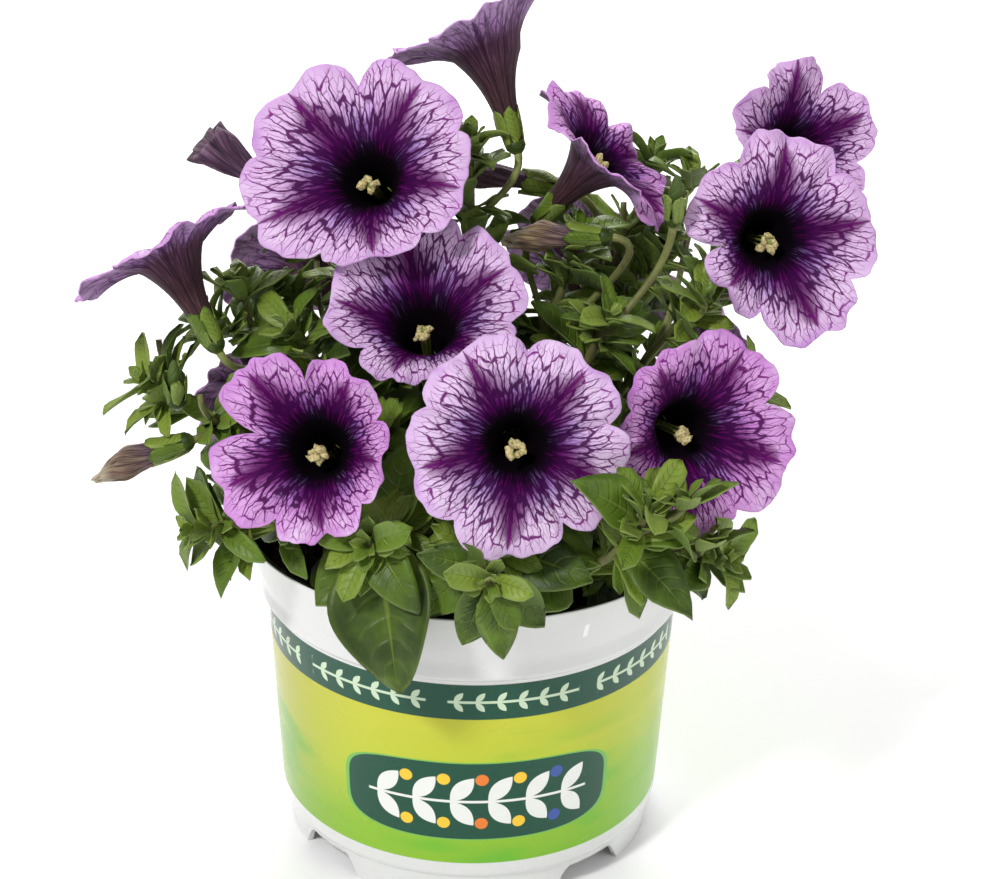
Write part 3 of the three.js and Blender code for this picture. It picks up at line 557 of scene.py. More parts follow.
soil_edge = INNER_COLLAR - 2 * SOIL_GAP
soil_flat = SOIL_LEVEL - 1.2 * MM
soil_body = spun([
    (0, FLOOR_TOP + SOIL_GAP, 0),
    (INNER_FLOOR - SOIL_GAP, FLOOR_TOP + SOIL_GAP, 0),
    (BODY_TOP_RADIUS - WALL - SOIL_GAP, COLLAR_BOTTOM - GROOVE, 0),
    (soil_edge, SOIL_LEVEL - 2.5 * MM, 0),
    *((soil_edge * ring / SOIL_RINGS, soil_flat, 0) for ring in range(SOIL_RINGS - 1, 0, -1)),
    (0, soil_flat, 0)], 120)


def soil_height(x, y):
    """The lumpy top of the soil: broad mounds with small clods on them."""
    broad = noise.noise(Vector((x, y, 3)) / (22 * MM))
    clod = noise.noise(Vector((x, y, 7)) / (6 * MM))
    small = noise.noise(Vector((x, y, 11)) / (2.4 * MM))
    return SOIL_LEVEL - 1.0 * MM + (1.5 * broad + 0.8 * clod + 0.5 * small) * MM


for corner in soil_body.verts:
    if corner.co.z > SOIL_LEVEL - 1.5 * MM:
        corner.co.z = soil_height(corner.co.x, corner.co.y)

crumb_draw = random.Random(5)
for _ in range(CRUMBS):
    turn = crumb_draw.uniform(0, math.tau)
    radius = (soil_edge - 2 * MM) * math.sqrt(crumb_draw.random())
    size = crumb_draw.uniform(0.5, 1.7) * MM
    x, y = radius * math.cos(turn), radius * math.sin(turn)
    at = Matrix.Translation((x, y, soil_height(x, y) + size * 0.2))
    spin = Matrix.Rotation(crumb_draw.uniform(0, math.tau), 4, (crumb_draw.random(), crumb_draw.random(), 1))
    squeeze = Matrix.Diagonal((1, crumb_draw.uniform(0.6, 1), crumb_draw.uniform(0.5, 0.8), 1))
    bmesh.ops.create_icosphere(soil_body, subdivisions=1, radius=size, matrix=at @ spin @ squeeze)


def peat():
    """Dark damp peat with paler fibres and specks."""
    wires = Finish("peat", Roughness=0.95, Specular_IOR_Level=0.25)
    grain = wires.cloud(wires.place(), 420.0, 6.0, 0.7)
    shade = wires.ramp(grain, [(0.3, 18, 13, 10), (0.52, 48, 34, 24), (0.72, 92, 70, 50)])
    return wires.set(Base_Color=shade, Normal=wires.bump(grain, 1.2 * MM))


piece("potting_soil", soil_body, (peat(),), "potting_soil", "soil")

# ---------------------------------------------------------------------------------------------
# The open blooms: each is one thin funnel that opens into five joined lobes with ruffled edges,
# near black in the throat, with a net of dark veins over lilac and dark lines down each lobe.
# ---------------------------------------------------------------------------------------------
TUBE_LENGTH = 24
LOBES = 5
PETAL_COLUMNS = 140
TUBE_ROWS = 14
LIMB_ROWS = 34
PETAL_WALL = 0.38 * MM
TUBE_START = 0.3
TUBE_NARROW, TUBE_WIDENS, TUBE_FLARES = 1.9, 1.6, 5.2
SEAM_SHORTER, SEAM_DEEPER, LIP_NOTCH = 0.15, 1.4, 0.05
LIMB_RISES, LIP_ROLLS, VALLEY_DEPTH = 4.9, 0.9, 1.2
RUFFLE, RIPPLE, CREASE = 3.6, 2.4, 0.8
BLOOM_SHIFT = 20

# Every bloom: the middle of its mouth and the way it faces (turned from the front towards the
# right, and raised), in mm and degrees, the reach of its lobes, its turn about its own axis, each
# lobe's curl and length, how deep the cleft after each lobe is, how magenta the bloom is and how
# crumpled.
BLOOMS = {
    "bloom_front": dict(
        mouth=(10, -56, 132), face=(3, 20), reach=26, turn=12,
        curl=(1, 2, 0, 1, 3), long=(1, 1, 0.98, 1, 1), cleft=(1.2, 0.8, 0.9, 1.5, 1.1),
        magenta=0.05, crumple=0.8),
    "bloom_front_left": dict(
        mouth=(-36, -53, 129), face=(-10, 30), reach=23, turn=28,
        curl=(-3, -5, 1, 3, 0), long=(0.86, 1.02, 1.1, 0.96, 0.78), cleft=(2.3, 2.8, 1.2, 1, 1.4),
        magenta=0.75, crumple=1.5),
    "bloom_front_right": dict(
        mouth=(50, -40, 129), face=(26, 14), reach=26, turn=10,
        curl=(2, 0, 3, 1, 2), long=(1, 0.84, 0.72, 0.98, 1.12), cleft=(0.9, 1, 1, 0.8, 1.9),
        magenta=0.8, crumple=1.0),
    "bloom_middle": dict(
        mouth=(-12, -28, 150), face=(-6, 57), reach=24.5, turn=0,
        curl=(-3, -6, -2, 1, 0), long=(1.02, 1.16, 0.96, 0.76, 0.86),
        cleft=(0.9, 1.9, 1.7, 1.2, 0.8), magenta=0.15, crumple=1.2),
    "bloom_upper_left": dict(
        mouth=(-26, -12, 181), face=(-14, 36), reach=28, turn=33,
        curl=(2, 1, 0, 2, 1), long=(1.03, 1.08, 1.06, 0.78, 0.9), cleft=(1.6, 0.6, 0.9, 1, 0.7),
        magenta=0.25, crumple=0.9),
    "bloom_upper_right": dict(
        mouth=(71, -6, 165), face=(12, 18), reach=25.5, turn=42,
        curl=(2, 2, 1, 0, 1), long=(1, 0.88, 0.72, 1.06, 1.06), cleft=(1.2, 2.4, 1.3, 0.8, 0.9),
        magenta=0.2, crumple=1.2),
    "bloom_far_right": dict(
        mouth=(80, 26, 177), face=(40, 30), reach=23, turn=48,
        curl=(-3, 2, 1, 3, -4), long=(0.94, 1, 1, 0.95, 0.92), cleft=(1.2, 1, 1, 1, 2.1),
        magenta=0.3, crumple=1.3),
    "bloom_top": dict(
        mouth=(2, 18, 204), face=(-140, 62), reach=22, turn=10,
        curl=(-3, -8, -6, -2, 0), long=(0.95, 0.74, 0.78, 1, 1.1), magenta=0.2, crumple=0.8),
    "bloom_top_right": dict(
        mouth=(30, 9, 180), face=(68, 50), reach=24, turn=15,
        curl=(3, -2, -5, 2, 6), long=(1, 0.92, 0.9, 1, 0.8), magenta=0.7, crumple=1.2),
    "bloom_far_left": dict(
        mouth=(-73.5, -15, 162), face=(-120, 58), reach=24, turn=0,
        curl=(0, 1, 2, 4, 3), long=(0.86, 0.9, 0.95, 1.1, 1.04), magenta=0.5, crumple=0.8),
    "bloom_back_left": dict(
        mouth=(-44, 50, 136), face=(-150, 28), reach=26, turn=5,
        curl=(2, 1, 3, 0, 2), long=(1, 1, 0.95, 1, 1), magenta=0.3, crumple=0.8),
    "bloom_back_right": dict(
        mouth=(31, 56, 133), face=(158, 26), reach=26, turn=33,
        curl=(1, 3, 2, 0, 1), long=(1, 0.95, 1, 1, 0.97), magenta=0.15, crumple=0.8),
    "bloom_back_low": dict(
        mouth=(-8, 62, 105), face=(-176, 18), reach=22.5, turn=18,
        curl=(2, 0, 2, 3, 1), long=(1, 1, 1, 0.94, 1), magenta=0.7, crumple=1.0),
    "bloom_left_back": dict(
        mouth=(-60, 36, 108), face=(-122, 20), reach=22, turn=50,
        curl=(1, 3, 0, 2, 2), long=(0.96, 1, 1, 1, 0.94), magenta=0.45, crumple=0.9),
    "bloom_right_back": dict(
        mouth=(65, 34, 114), face=(118, 22), reach=24, turn=28,
        curl=(0, 2, 3, 1, 2), long=(1, 0.96, 1, 1, 1), magenta=0.6, crumple=0.9),
}
PLAIN_CLEFTS = (1, 1, 1, 1, 1)
UP = Vector((0, 0, 1))


def mix(first, second, share):
    return first + (second - first) * share


def axes_for(axis):
    """Two directions square to an axis: its side and its brow."""
    side = UP.cross(axis).normalized()
    return side, axis.cross(side)


def bloom_axes(bloom):
    """A bloom's side, brow and face, and its foot, in mm."""
    turn, raised = (math.radians(value) for value in bloom["face"])
    level = math.cos(raised)
    face = Vector((math.sin(turn) * level, -math.cos(turn) * level, math.sin(raised)))
    side, brow = axes_for(face)
    return side, brow, face, Vector(bloom["mouth"]) - TUBE_LENGTH * face


def lobe_at(bloom, place):
    """How far the limb reaches and how far it bends at a place, counted in lobes, and how near the
    place is to a seam. Each lobe has a blunt lip with a small notch, and the seams between the
    lobes are shorter and sit a little deeper."""
    place %= LOBES
    lobe = int(place)
    across = abs((place - lobe) * 2 - 1)
    other = (lobe + (1 if place - lobe > 0.5 else LOBES - 1)) % LOBES
    shared = across * across * 0.5
    curl = mix(bloom["curl"][lobe], bloom["curl"][other], shared)
    long = mix(bloom["long"][lobe], bloom["long"][other], shared)
    cleft = bloom.get("cleft", PLAIN_CLEFTS)[lobe if place - lobe > 0.5 else other]
    seam = across ** 6
    notch = LIP_NOTCH * math.exp(-(across * 6) ** 2)
    reach = bloom["reach"] * long * (1 - SEAM_SHORTER * cleft * seam - notch)
    return reach, -curl - SEAM_DEEPER * seam, across


def tube_radius(height):
    """The funnel's radius at a height over its foot: narrow, then flaring to its mouth."""
    share = height / TUBE_LENGTH
    return TUBE_NARROW + TUBE_WIDENS * share + TUBE_FLARES * share ** 3.2


def petal_point(bloom, number, across, along):
    """A point of the thin petal sheet, in mm. Along runs from the foot, -1, over the mouth, 0, to
    the lip, 1."""
    side, brow, face, foot = bloom_axes(bloom)
    place = across * LOBES
    angle = across * math.tau + math.radians(bloom["turn"])
    rim, lift, between = lobe_at(bloom, place)
    if along <= 0:
        height = TUBE_START + (TUBE_LENGTH - TUBE_START) * (along + 1)
        radius = tube_radius(height) * (1 + 0.03 * math.cos(place * math.tau))
    else:
        mouth = tube_radius(TUBE_LENGTH)
        edge = Vector((math.cos(angle) * 3, math.sin(angle) * 3, number * 7.3))
        ragged = 0.06 * noise.noise(edge * 0.7) + 0.045 * noise.noise(edge * 2.4)
        rim *= 1 + bloom["crumple"] * ragged
        radius = mouth + (rim - mouth) * along
        share = radius / rim
        height = TUBE_LENGTH + LIMB_RISES * (1 - (1 - along) ** 2.3) + lift * share * share
        ruffle = noise.noise(edge * 0.55 + Vector((0, 0, along * 0.5)))
        ripple = noise.noise(edge * 1.5 + Vector((5, 0, along)))
        crease = noise.noise(edge * 3.6 + Vector((0, 9, along * 1.5)))
        waves = RUFFLE * ruffle + RIPPLE * ripple + CREASE * crease
        height += bloom["crumple"] * along ** 1.6 * waves
        valley = math.exp(-((1 - between) * 5.5) ** 2) + 0.7 * math.exp(-(between * 6) ** 2)
        height -= VALLEY_DEPTH * valley * math.sin(math.pi * min(along, 0.98)) ** 0.7
        height -= LIP_ROLLS * along ** 5 * (1 - between ** 2)
    at = foot + face * height + side * (math.cos(angle) * radius) + brow * (math.sin(angle) * radius)
    return at * MM


def petal_along(share):
    """From a share of the grid's rows to the place along the petal, -1 to 1."""
    row = share * (TUBE_ROWS + LIMB_ROWS)
    if row <= TUBE_ROWS:
        return row / TUBE_ROWS - 1
    return (row - TUBE_ROWS) / LIMB_ROWS


def petal_veins():
    """The net of veins: long cells that close near the throat, and finer branches that thin out towards the
    lip, with a dark line down each lobe and each seam, and a flush that fans out beside them, and a mask for
    a painted bluish sheen at the seams near the throat. The place is counted in lobes round the bloom, and
    along the petal."""
    wires = Effect("petal_veins", {"Place": (0.0, 0.0, 0.0), "Width": 1.0, "Fade": 0.9},
                   ("Net", "Rib", "Flush", "Cool"))
    round_bloom, along, _ = wires.parts(wires.take["Place"])
    middle = abs(wires.sum("FRACT", round_bloom) - 0.5)
    seam = 0.5 - middle

    def drawn_out(columns, rows, detail):
        """A cloud with this many puffs across a lobe and along the petal."""
        return wires.cloud(wires.point(round_bloom * columns, along * rows), 1.0, detail)

    def lines(columns, rows, shift, width, soft):
        """Dark lines between long cells. They lean away from the middle of their lobe."""
        spot = wires.point(round_bloom * columns + sway, along * rows - middle * 5.0 + shift)
        gap = wires.get("TexVoronoi", {"Vector": spot, "Scale": 1.0, "Randomness": 1.0}, "Distance",
                        voronoi_dimensions="2D", feature="DISTANCE_TO_EDGE")
        return 1.0 - wires.step(gap, width * soft[0], width + soft[1])

    sway = (drawn_out(4.0, 4.0, 3.0) - 0.5) * 1.3
    patch = drawn_out(6.0, 2.5, 3.0) - 0.5
    reach = wires.take["Fade"] + patch * 0.5
    width = wires.step(along, -0.1, 0.45, 0.22, 0.0) + wires.step(along, 0.15, reach, 0.22, 0.02)
    # The lines swell and break off here and there.
    width = width * wires.take["Width"] * wires.step(drawn_out(26.0, 9.0, 1.0), 0.3, 0.68, 0.5, 1.2)
    big = lines(13.0, 2.7, 0.0, width, (0.45, 0.02))
    small = lines(25.0, 5.0, 4.7, width * 0.7, (0.4, 0.03))
    net = wires.sum("MAXIMUM", big, small * 0.55) * wires.step(along, reach, reach - 0.22)
    taper = wires.step(along, 0.0, 0.95, 0.06, 0.006)
    rib = wires.step(middle, taper, taper * 0.4)
    seam_line = wires.step(seam, taper * 0.6, taper * 0.2)
    rib = wires.sum("MAXIMUM", rib, seam_line) * wires.step(along, 0.97, 0.8)
    frayed = along + patch * 0.45
    fan = wires.step(middle, wires.step(frayed, 0.0, 1.0, 0.54, 0.0), 0.0)
    slim = wires.step(seam, wires.step(frayed, 0.0, 0.5, 0.2, 0.0), 0.0)
    # The last mask is a painted sheen: a bluish glint painted at the seams near the throat.
    return wires.set(Net=net, Rib=rib, Flush=wires.sum("MAXIMUM", fan, slim * 0.6),
                     Cool=wires.step(seam, 0.24, 0.04) * wires.step(along, 0.6, 0.25))


PETAL_VEINS = petal_veins()
PETAL_GLOW = (0.0012, 0.0006, 0.0010)


def petal_face():
    """The inner side of a petal: soft and matt, lilac or magenta under the whole net of veins, and near black
    in the throat, with a painted bluish sheen at the seams, pale patches of painted highlight on the outer
    limb and violet patches of painted fold shade at the lip."""
    wires = Finish("petal_inside", Roughness=0.6, Subsurface_Weight=0.08,
                   Subsurface_Radius=PETAL_GLOW, Specular_IOR_Level=0.05)
    place = wires.own_place()
    round_bloom, along, _ = wires.parts(place)
    veins = wires.group(PETAL_VEINS, Place=place, Width=1.0, Fade=1.05)
    patch = wires.cloud(wires.point(round_bloom * 1.7, along), 1.6, 3.0)
    deep = along + (patch - 0.5) * 0.3
    lilac = wires.ramp(deep, [(0.0, 30, 4, 34), (0.08, 92, 30, 104), (0.2, 166, 112, 182),
                              (0.36, 208, 172, 218), (0.7, 226, 200, 232), (1.0, 214, 180, 224)])
    pink = wires.ramp(deep, [(0.0, 30, 4, 32), (0.08, 98, 14, 98), (0.2, 152, 60, 156),
                             (0.36, 190, 104, 194), (0.7, 212, 148, 216), (1.0, 202, 128, 208)])
    ink = wires.ramp(along, [(0.0, 24, 1, 30), (0.12, 50, 1, 58), (0.35, 56, 1, 62),
                             (0.62, 84, 4, 86), (0.95, 134, 30, 134)])
    # Painted light: pale patches stand for highlights on the outer limb, and violet patches at the lip for
    # the shade in its folds.
    painted_highlight = wires.step(patch, 0.5, 0.75) * wires.step(along, 0.45, 0.8)
    edge = wires.step(patch, 0.46, 0.3) * wires.step(along, 0.8, 1.0)
    shade = wires.blend(wires.attribute("magenta"), lilac, pink)
    # The first tint is a painted bluish sheen at the seams.
    for share, tint in ((veins["Cool"] * 0.4, colour(150, 138, 206)), (painted_highlight * 0.6, colour(236, 216, 240)),
                        (edge * 0.5, colour(170, 92, 190)), (veins["Flush"] * 0.95, colour(88, 2, 84)),
                        (veins["Net"] * 0.95, ink), (veins["Rib"] * 0.8, ink),
                        (wires.step(along, 0.02, -0.15), colour(9, 3, 10))):
        shade = wires.blend(share, shade, tint)
    grain = wires.cloud(wires.place(), 1500.0, 2.0)
    relief = grain * 0.3 - wires.sum("MAXIMUM", veins["Net"], veins["Rib"]) * 0.6
    return wires.set(Base_Color=shade, Roughness=wires.step(along, -0.1, 0.3, 0.85, 0.58),
                     Normal=wires.bump(relief, 0.16 * MM))


def petal_back():
    """The outer side: greyish lilac limb with faint veins, over a dark purple-brown tube with fine
    long lines."""
    wires = Finish("petal_outside", Roughness=0.66, Sheen_Weight=0.05, Sheen_Roughness=0.5,
                   Subsurface_Weight=0.06, Subsurface_Radius=PETAL_GLOW, Specular_IOR_Level=0.12)
    place = wires.own_place()
    round_bloom, along, _ = wires.parts(place)
    veins = wires.group(PETAL_VEINS, Place=place, Width=0.8, Fade=1.0)
    streaks = wires.cloud(wires.point(round_bloom * 15.0, along * 1.4), 1.0, 4.0)
    limb = wires.ramp((along + 1.0) * 0.5, [
        (0.0, 112, 96, 66), (0.1, 92, 66, 58), (0.35, 92, 62, 68), (0.5, 108, 70, 98),
        (0.66, 172, 134, 182), (1.0, 206, 172, 216)])
    tinted = wires.attribute("magenta") * wires.step(along, 0.0, 0.4, 0.0, 0.4)
    limb = wires.blend(tinted, limb, colour(150, 70, 166))
    dark = wires.blend(wires.step(streaks, 0.45, 0.62), limb, colour(34, 16, 32))
    ink = wires.blend(wires.step(along, -0.1, 0.4), colour(44, 22, 36), colour(64, 22, 76))
    shade = wires.blend(veins["Net"] * 0.6, wires.blend(0.6, limb, dark), ink)
    shade = wires.blend(veins["Rib"] * 0.7, shade, ink)
    return wires.set(Base_Color=shade, Normal=wires.bump(veins["Rib"] + streaks * 0.8, 0.22 * MM))


PETAL_FINISHES = (petal_face(), petal_back())
petal_trees = []


def sheet(columns, rows, place, mark, attribute, value):
    """A thin limp sheet: a bent grid with its seam closed, marked with a value."""
    body = bmesh.new()
    corners, _ = bend(body, columns, rows, place, mark)
    bmesh.ops.remove_doubles(body, verts=corners, dist=0.01 * MM)
    layer = body.verts.layers.float.new(attribute)
    for corner in body.verts:
        corner[layer] = value
    bmesh.ops.recalc_face_normals(body, faces=body.faces)
    return body


def thicken(made, name, thickness):
    """Gives a sheet its thickness, inwards from its outer side."""
    wall = made.modifiers.new(name, "SOLIDIFY")
    wall.thickness = thickness
    wall.offset = -1
    return wall


def petals(name, number):
    """One bloom's petals, grown together. Their UV counts the lobes, shifted so that no two blooms
    have the same veins."""
    bloom = BLOOMS[name]
    body = sheet(PETAL_COLUMNS, TUBE_ROWS + LIMB_ROWS,
                 lambda across, along: petal_point(bloom, number, across, petal_along(along)),
                 lambda across, along: (across * LOBES + BLOOM_SHIFT * number, petal_along(along)),
                 "magenta", bloom["magenta"])
    lip = max(body.faces, key=lambda face: (face.calc_center_median() - Vector(bloom["mouth"]) * MM).length)
    if lip.normal.dot(bloom_axes(bloom)[2]) < 0:
        bmesh.ops.reverse_faces(body, faces=body.faces)
    petal_trees.append(BVHTree.FromBMesh(body))
    wall = thicken(piece(name + "_petals", body, PETAL_FINISHES, "petals", name), "petal_wall", PETAL_WALL)
    wall.material_offset = 1
    wall.material_offset_rim = 0


for number, name in enumerate(BLOOMS):
    petals(name, number)

# ---------------------------------------------------------------------------------------------
# The stamens: five cream anthers on thin stalks, and one olive stigma, low in each throat.
# ---------------------------------------------------------------------------------------------
ANTHERS = 5
ANTHER_SIZE = 1.25
ANTHER_SHAPE = (1.25, 0.66, 0.8, 1)
STIGMA_SHAPE = (0.95, 0.95, 0.5, 1)
ANTHER_RING = 1.6
ANTHER_DEPTH = 1.4
ANTHERS_SAG = 1.2
FILAMENT_RADIUS = 0.28 * MM


def way_out(side, brow, turn):
    """The way out from an axis at a turn, counted from its side towards its brow."""
    return side * math.cos(turn) + brow * math.sin(turn)


def tube_along(body, points, radii, sides):
    """Adds a closed tube through points, in metres, with a radius at each, to a bmesh."""
    frames = []
    normal = UP.cross(points[1] - points[0])
    if normal.length < 1e-9:
        normal = Vector((1, 0, 0))
    for number, point in enumerate(points):
        along = (points[min(number + 1, len(points) - 1)] - points[max(number - 1, 0)]).normalized()
        normal = (normal - along * normal.dot(along)).normalized()
        frames.append((point, normal.copy(), along.cross(normal)))
    rows = len(points) + 1

    def place(across, along):
        row = round(along * rows)
        step = min(max(row - 1, 0), len(points) - 1)
        point, one, two = frames[step]
        radius = 0 if row in (0, rows) else radii[step]
        turn = across * math.tau
        return point + way_out(one, two, turn) * radius

    corners, _ = bend(body, sides, rows, place, lambda across, along: (across, along))
    bmesh.ops.remove_doubles(body, verts=corners, dist=1e-7)
    return [corner for corner in corners if corner.is_valid]


def set_finish(corners, number):
    """Gives the faces round these corners the finish with this number."""
    for face in {face for corner in corners for face in corner.link_faces}:
        face.material_index = number


def pollen():
    """Powdery cream anthers, browner in their folds."""
    wires = Finish("anther_cream", Roughness=0.85)
    grain = wires.cloud(wires.place(), 1900.0, 3.0)
    shade = wires.ramp(grain, [(0.3, 112, 92, 46), (0.5, 196, 180, 122), (0.72, 226, 216, 174)])
    return wires.set(Base_Color=shade, Normal=wires.bump(grain, 0.15 * MM))


def stigma_green():
    """A moist olive stigma."""
    wires = Finish("stigma_olive", Roughness=0.3)
    grain = wires.cloud(wires.place(), 900.0)
    return wires.set(Base_Color=wires.blend(grain, colour(98, 104, 40), colour(150, 156, 84)))


STAMEN_FINISHES = (pollen(), stigma_green())
stamen_draw = random.Random(11)
for name, bloom in BLOOMS.items():
    body = bmesh.new()
    side, brow, face, foot = bloom_axes(bloom)
    for number in range(ANTHERS + 1):
        is_stigma = number == ANTHERS
        turn = number / ANTHERS * math.tau + stamen_draw.uniform(-0.3, 0.3)
        out = 0 if is_stigma else ANTHER_RING * stamen_draw.uniform(0.6, 1.1)
        head = foot + face * (TUBE_LENGTH - ANTHER_DEPTH + stamen_draw.uniform(-1.2, 0.8))
        head += side * (math.cos(turn) * out) + brow * (math.sin(turn) * out - ANTHERS_SAG)
        root = foot + face * 2 + way_out(side, brow, turn) * 0.6
        bow = root.lerp(head, 0.6) + face * 3
        path = [bowed(root, bow, head, share) * MM for share in (0, 0.25, 0.5, 0.75, 1)]
        set_finish(tube_along(body, path, [FILAMENT_RADIUS] * len(path), 6), 1)
        size = ANTHER_SIZE * stamen_draw.uniform(0.85, 1.1)
        tilt = Matrix.Rotation(stamen_draw.uniform(0, math.pi), 4, face)
        shape = Matrix.Diagonal(STIGMA_SHAPE if is_stigma else ANTHER_SHAPE)
        at = Matrix.Translation(head * MM) @ tilt
        ball = bmesh.ops.create_icosphere(body, subdivisions=2, radius=size * MM, matrix=at @ shape)["verts"]
        for corner in ball:
            corner.co += (corner.co - head * MM) * 0.7 * noise.noise(corner.co / (0.9 * MM))
            for anther_face in corner.link_faces:
                anther_face.smooth = True
                anther_face.material_index = 1 if is_stigma else 0
    piece(name + "_stamens", body, STAMEN_FINISHES, "petals")

# ---------------------------------------------------------------------------------------------
# The withered blooms: limp funnels that have shrunk along their length into twisted folds, dark
# purple where fresh and beige and papery at the tip.
# ---------------------------------------------------------------------------------------------
WITHERED_BLOOMS = {
    "withered_middle": dict(foot=(31, -1, 163), tip=(8, 3, 163), fat=4, dry=0.95),
    "withered_left": dict(foot=(-70, -27, 118), tip=(-91, -31, 113), fat=4.5, dry=0.75),
    "withered_upper_left": dict(foot=(-47, 8, 168), tip=(-66, 6, 186), fat=6.5, dry=0.1, mouth=True),
    "withered_behind": dict(foot=(20, 22, 168), tip=(-8, 22, 174), fat=4.2, dry=0.2),
}
WITHERED_COLUMNS = 64
WITHERED_ROWS = 44
WITHERED_WALL = 0.3 * MM
MOUTH_FROM = 0.88
PINCHED_FROM = 0.6
FOLDS = 7
FOLD_DEPTH = 0.16
SAG = 3


def withered_point(wilt, number, across, along):
    """A point of a shrunken funnel's skin: closed at the foot and folded along its length. Its tip is
    pinched shut, or has a mouth whose lip is turned in."""
    foot, tip = Vector(wilt["foot"]), Vector(wilt["tip"])
    axis = (tip - foot).normalized()
    side, brow = axes_for(axis)
    mouth = wilt.get("mouth", False)
    share = along
    if mouth and along > MOUTH_FROM:
        share = MOUTH_FROM - (along - MOUTH_FROM) * 1.5
    turn = across * math.tau + share * (1.1 if mouth else 1.9)
    widest = share if mouth else min(share, 0.72) * 1.2
    radius = 1.5 + 0.7 * min(share / 0.35, 1) + (wilt["fat"] - 2.2) * max(widest - 0.3, 0) ** 1.3 * 1.7
    if mouth and along > MOUTH_FROM:
        radius *= 1 - (along - MOUTH_FROM) / (1 - MOUTH_FROM) * 0.7
    elif not mouth and along > PINCHED_FROM:
        radius *= 1 - 0.72 * ((along - PINCHED_FROM) / (1 - PINCHED_FROM)) ** 1.6
    if along == 0 or along == 1 and not mouth:
        radius = 0
    place = Vector((math.cos(turn) * 1.4, math.sin(turn) * 1.4, share * 1.6 + number * 9))
    fold = math.sin(across * math.tau * FOLDS + 3 * noise.noise(place)) * FOLD_DEPTH * share
    radius *= 1 + fold + 0.6 * share * noise.noise(place * 1.5)
    ragged = 1.1 if mouth else 1.03 + 0.12 * share ** 3 * noise.noise(place * 2.1)
    length = (tip - foot).length * share * ragged
    at = foot + axis * length + side * (math.cos(turn) * radius)
    return (at + brow * (math.sin(turn) * radius - SAG * share * share)) * MM


def withered_skin():
    """Dark wrinkled purple that dries to papery beige towards the tip."""
    wires = Finish("withered_petal", Roughness=0.75, Sheen_Weight=0.15)
    across, along, _ = wires.parts(wires.own_place())
    patch = wires.cloud(wires.place(), 260.0, 4.0)
    folds = wires.cloud(wires.point(across * 60.0, along * 3.0), 1.0, 3.0)
    fresh = wires.ramp(folds, [(0.35, 44, 22, 44), (0.52, 92, 58, 92), (0.7, 140, 104, 140)])
    old = wires.ramp(folds, [(0.35, 58, 34, 40), (0.5, 118, 94, 66), (0.7, 176, 160, 112)])
    old = wires.blend(wires.step(along, 0.8, 0.97), old, colour(208, 194, 164))
    tip = wires.step(along + (patch - 0.5) * 0.5, 0.25, 0.75)
    dry = wires.attribute("dryness") * wires.step(tip, 0.0, 1.0, 0.35, 1.0)
    return wires.set(Base_Color=wires.blend(dry, fresh, old), Normal=wires.bump(folds + patch, 0.4 * MM))


WITHERED_FINISH = withered_skin()
for number, (name, wilt) in enumerate(WITHERED_BLOOMS.items()):
    body = sheet(WITHERED_COLUMNS, WITHERED_ROWS,
                 lambda across, along: withered_point(wilt, number, across, along),
                 lambda across, along: (across, along), "dryness", wilt["dry"])
    petal_trees.append(BVHTree.FromBMesh(body))
    thicken(piece(name + "_skin", body, (WITHERED_FINISH,), "withered_petals", name), "skin_wall",
            WITHERED_WALL)

# ---------------------------------------------------------------------------------------------
# The leafy stems: each rises from its hole in the soil and carries leaves in a spiral, stalks with
# a green cup under each bloom, and a tuft at its tip. Short hairs stand on the stems and stalks.
# ---------------------------------------------------------------------------------------------
ROOT_END = 66
STEM_RADIUS = 1.25
STALK_RADIUS = 0.85
SPRIG_RADIUS = 0.8
STEM_STEPS, STALK_STEPS, SPRIG_STEPS = 26, 16, 8
LEAF_LENGTH = 34
TIP_LEAF_LENGTH = 13
BIG_LEAF_LENGTH = 30
LEAF_RATIO = 0.58
LEAF_WALL = 0.45 * MM
LEAF_TURN = 2.4
LEAVES_FROM, LEAVES_TO = 0.26, 0.93
SEPAL_LENGTH = 10
BUD_SEPAL_LENGTH = 8
BUD_LENGTH = 13
BUD_RADIUS = 1.9
# A bud's plump form: shares of its length, each with its share of the full radius.
BUD_FORM = ((0, 0.3), (0.06, 0.7), (0.2, 0.88), (0.45, 1), (0.7, 0.86), (0.88, 0.55), (0.97, 0.3), (1, 0.1))
TUFT = 3
TUFT_AT = 0.985
TRIES = 9
SIDE_TUFTS = 14
ROSETTE_LEAF, SPRIG_LEAF = 12, 14
HAIR_LENGTH = 1.0 * MM
STEM_HAIRS, STALK_HAIRS = 90, 60
STEM_FINISH = 2
PETAL_GAP = 1.3
SPRIG_GAP = 1.6
# The room of young leaves, in mm: the heights that they keep over the soil, outside the pot and over
# its rim, and how far the rim reaches from the axis.
ABOVE_SOIL, HANG_LOWEST, ABOVE_RIM = 80, 88, 92
NEAR_RIM, PAST_RIM = 50, 66

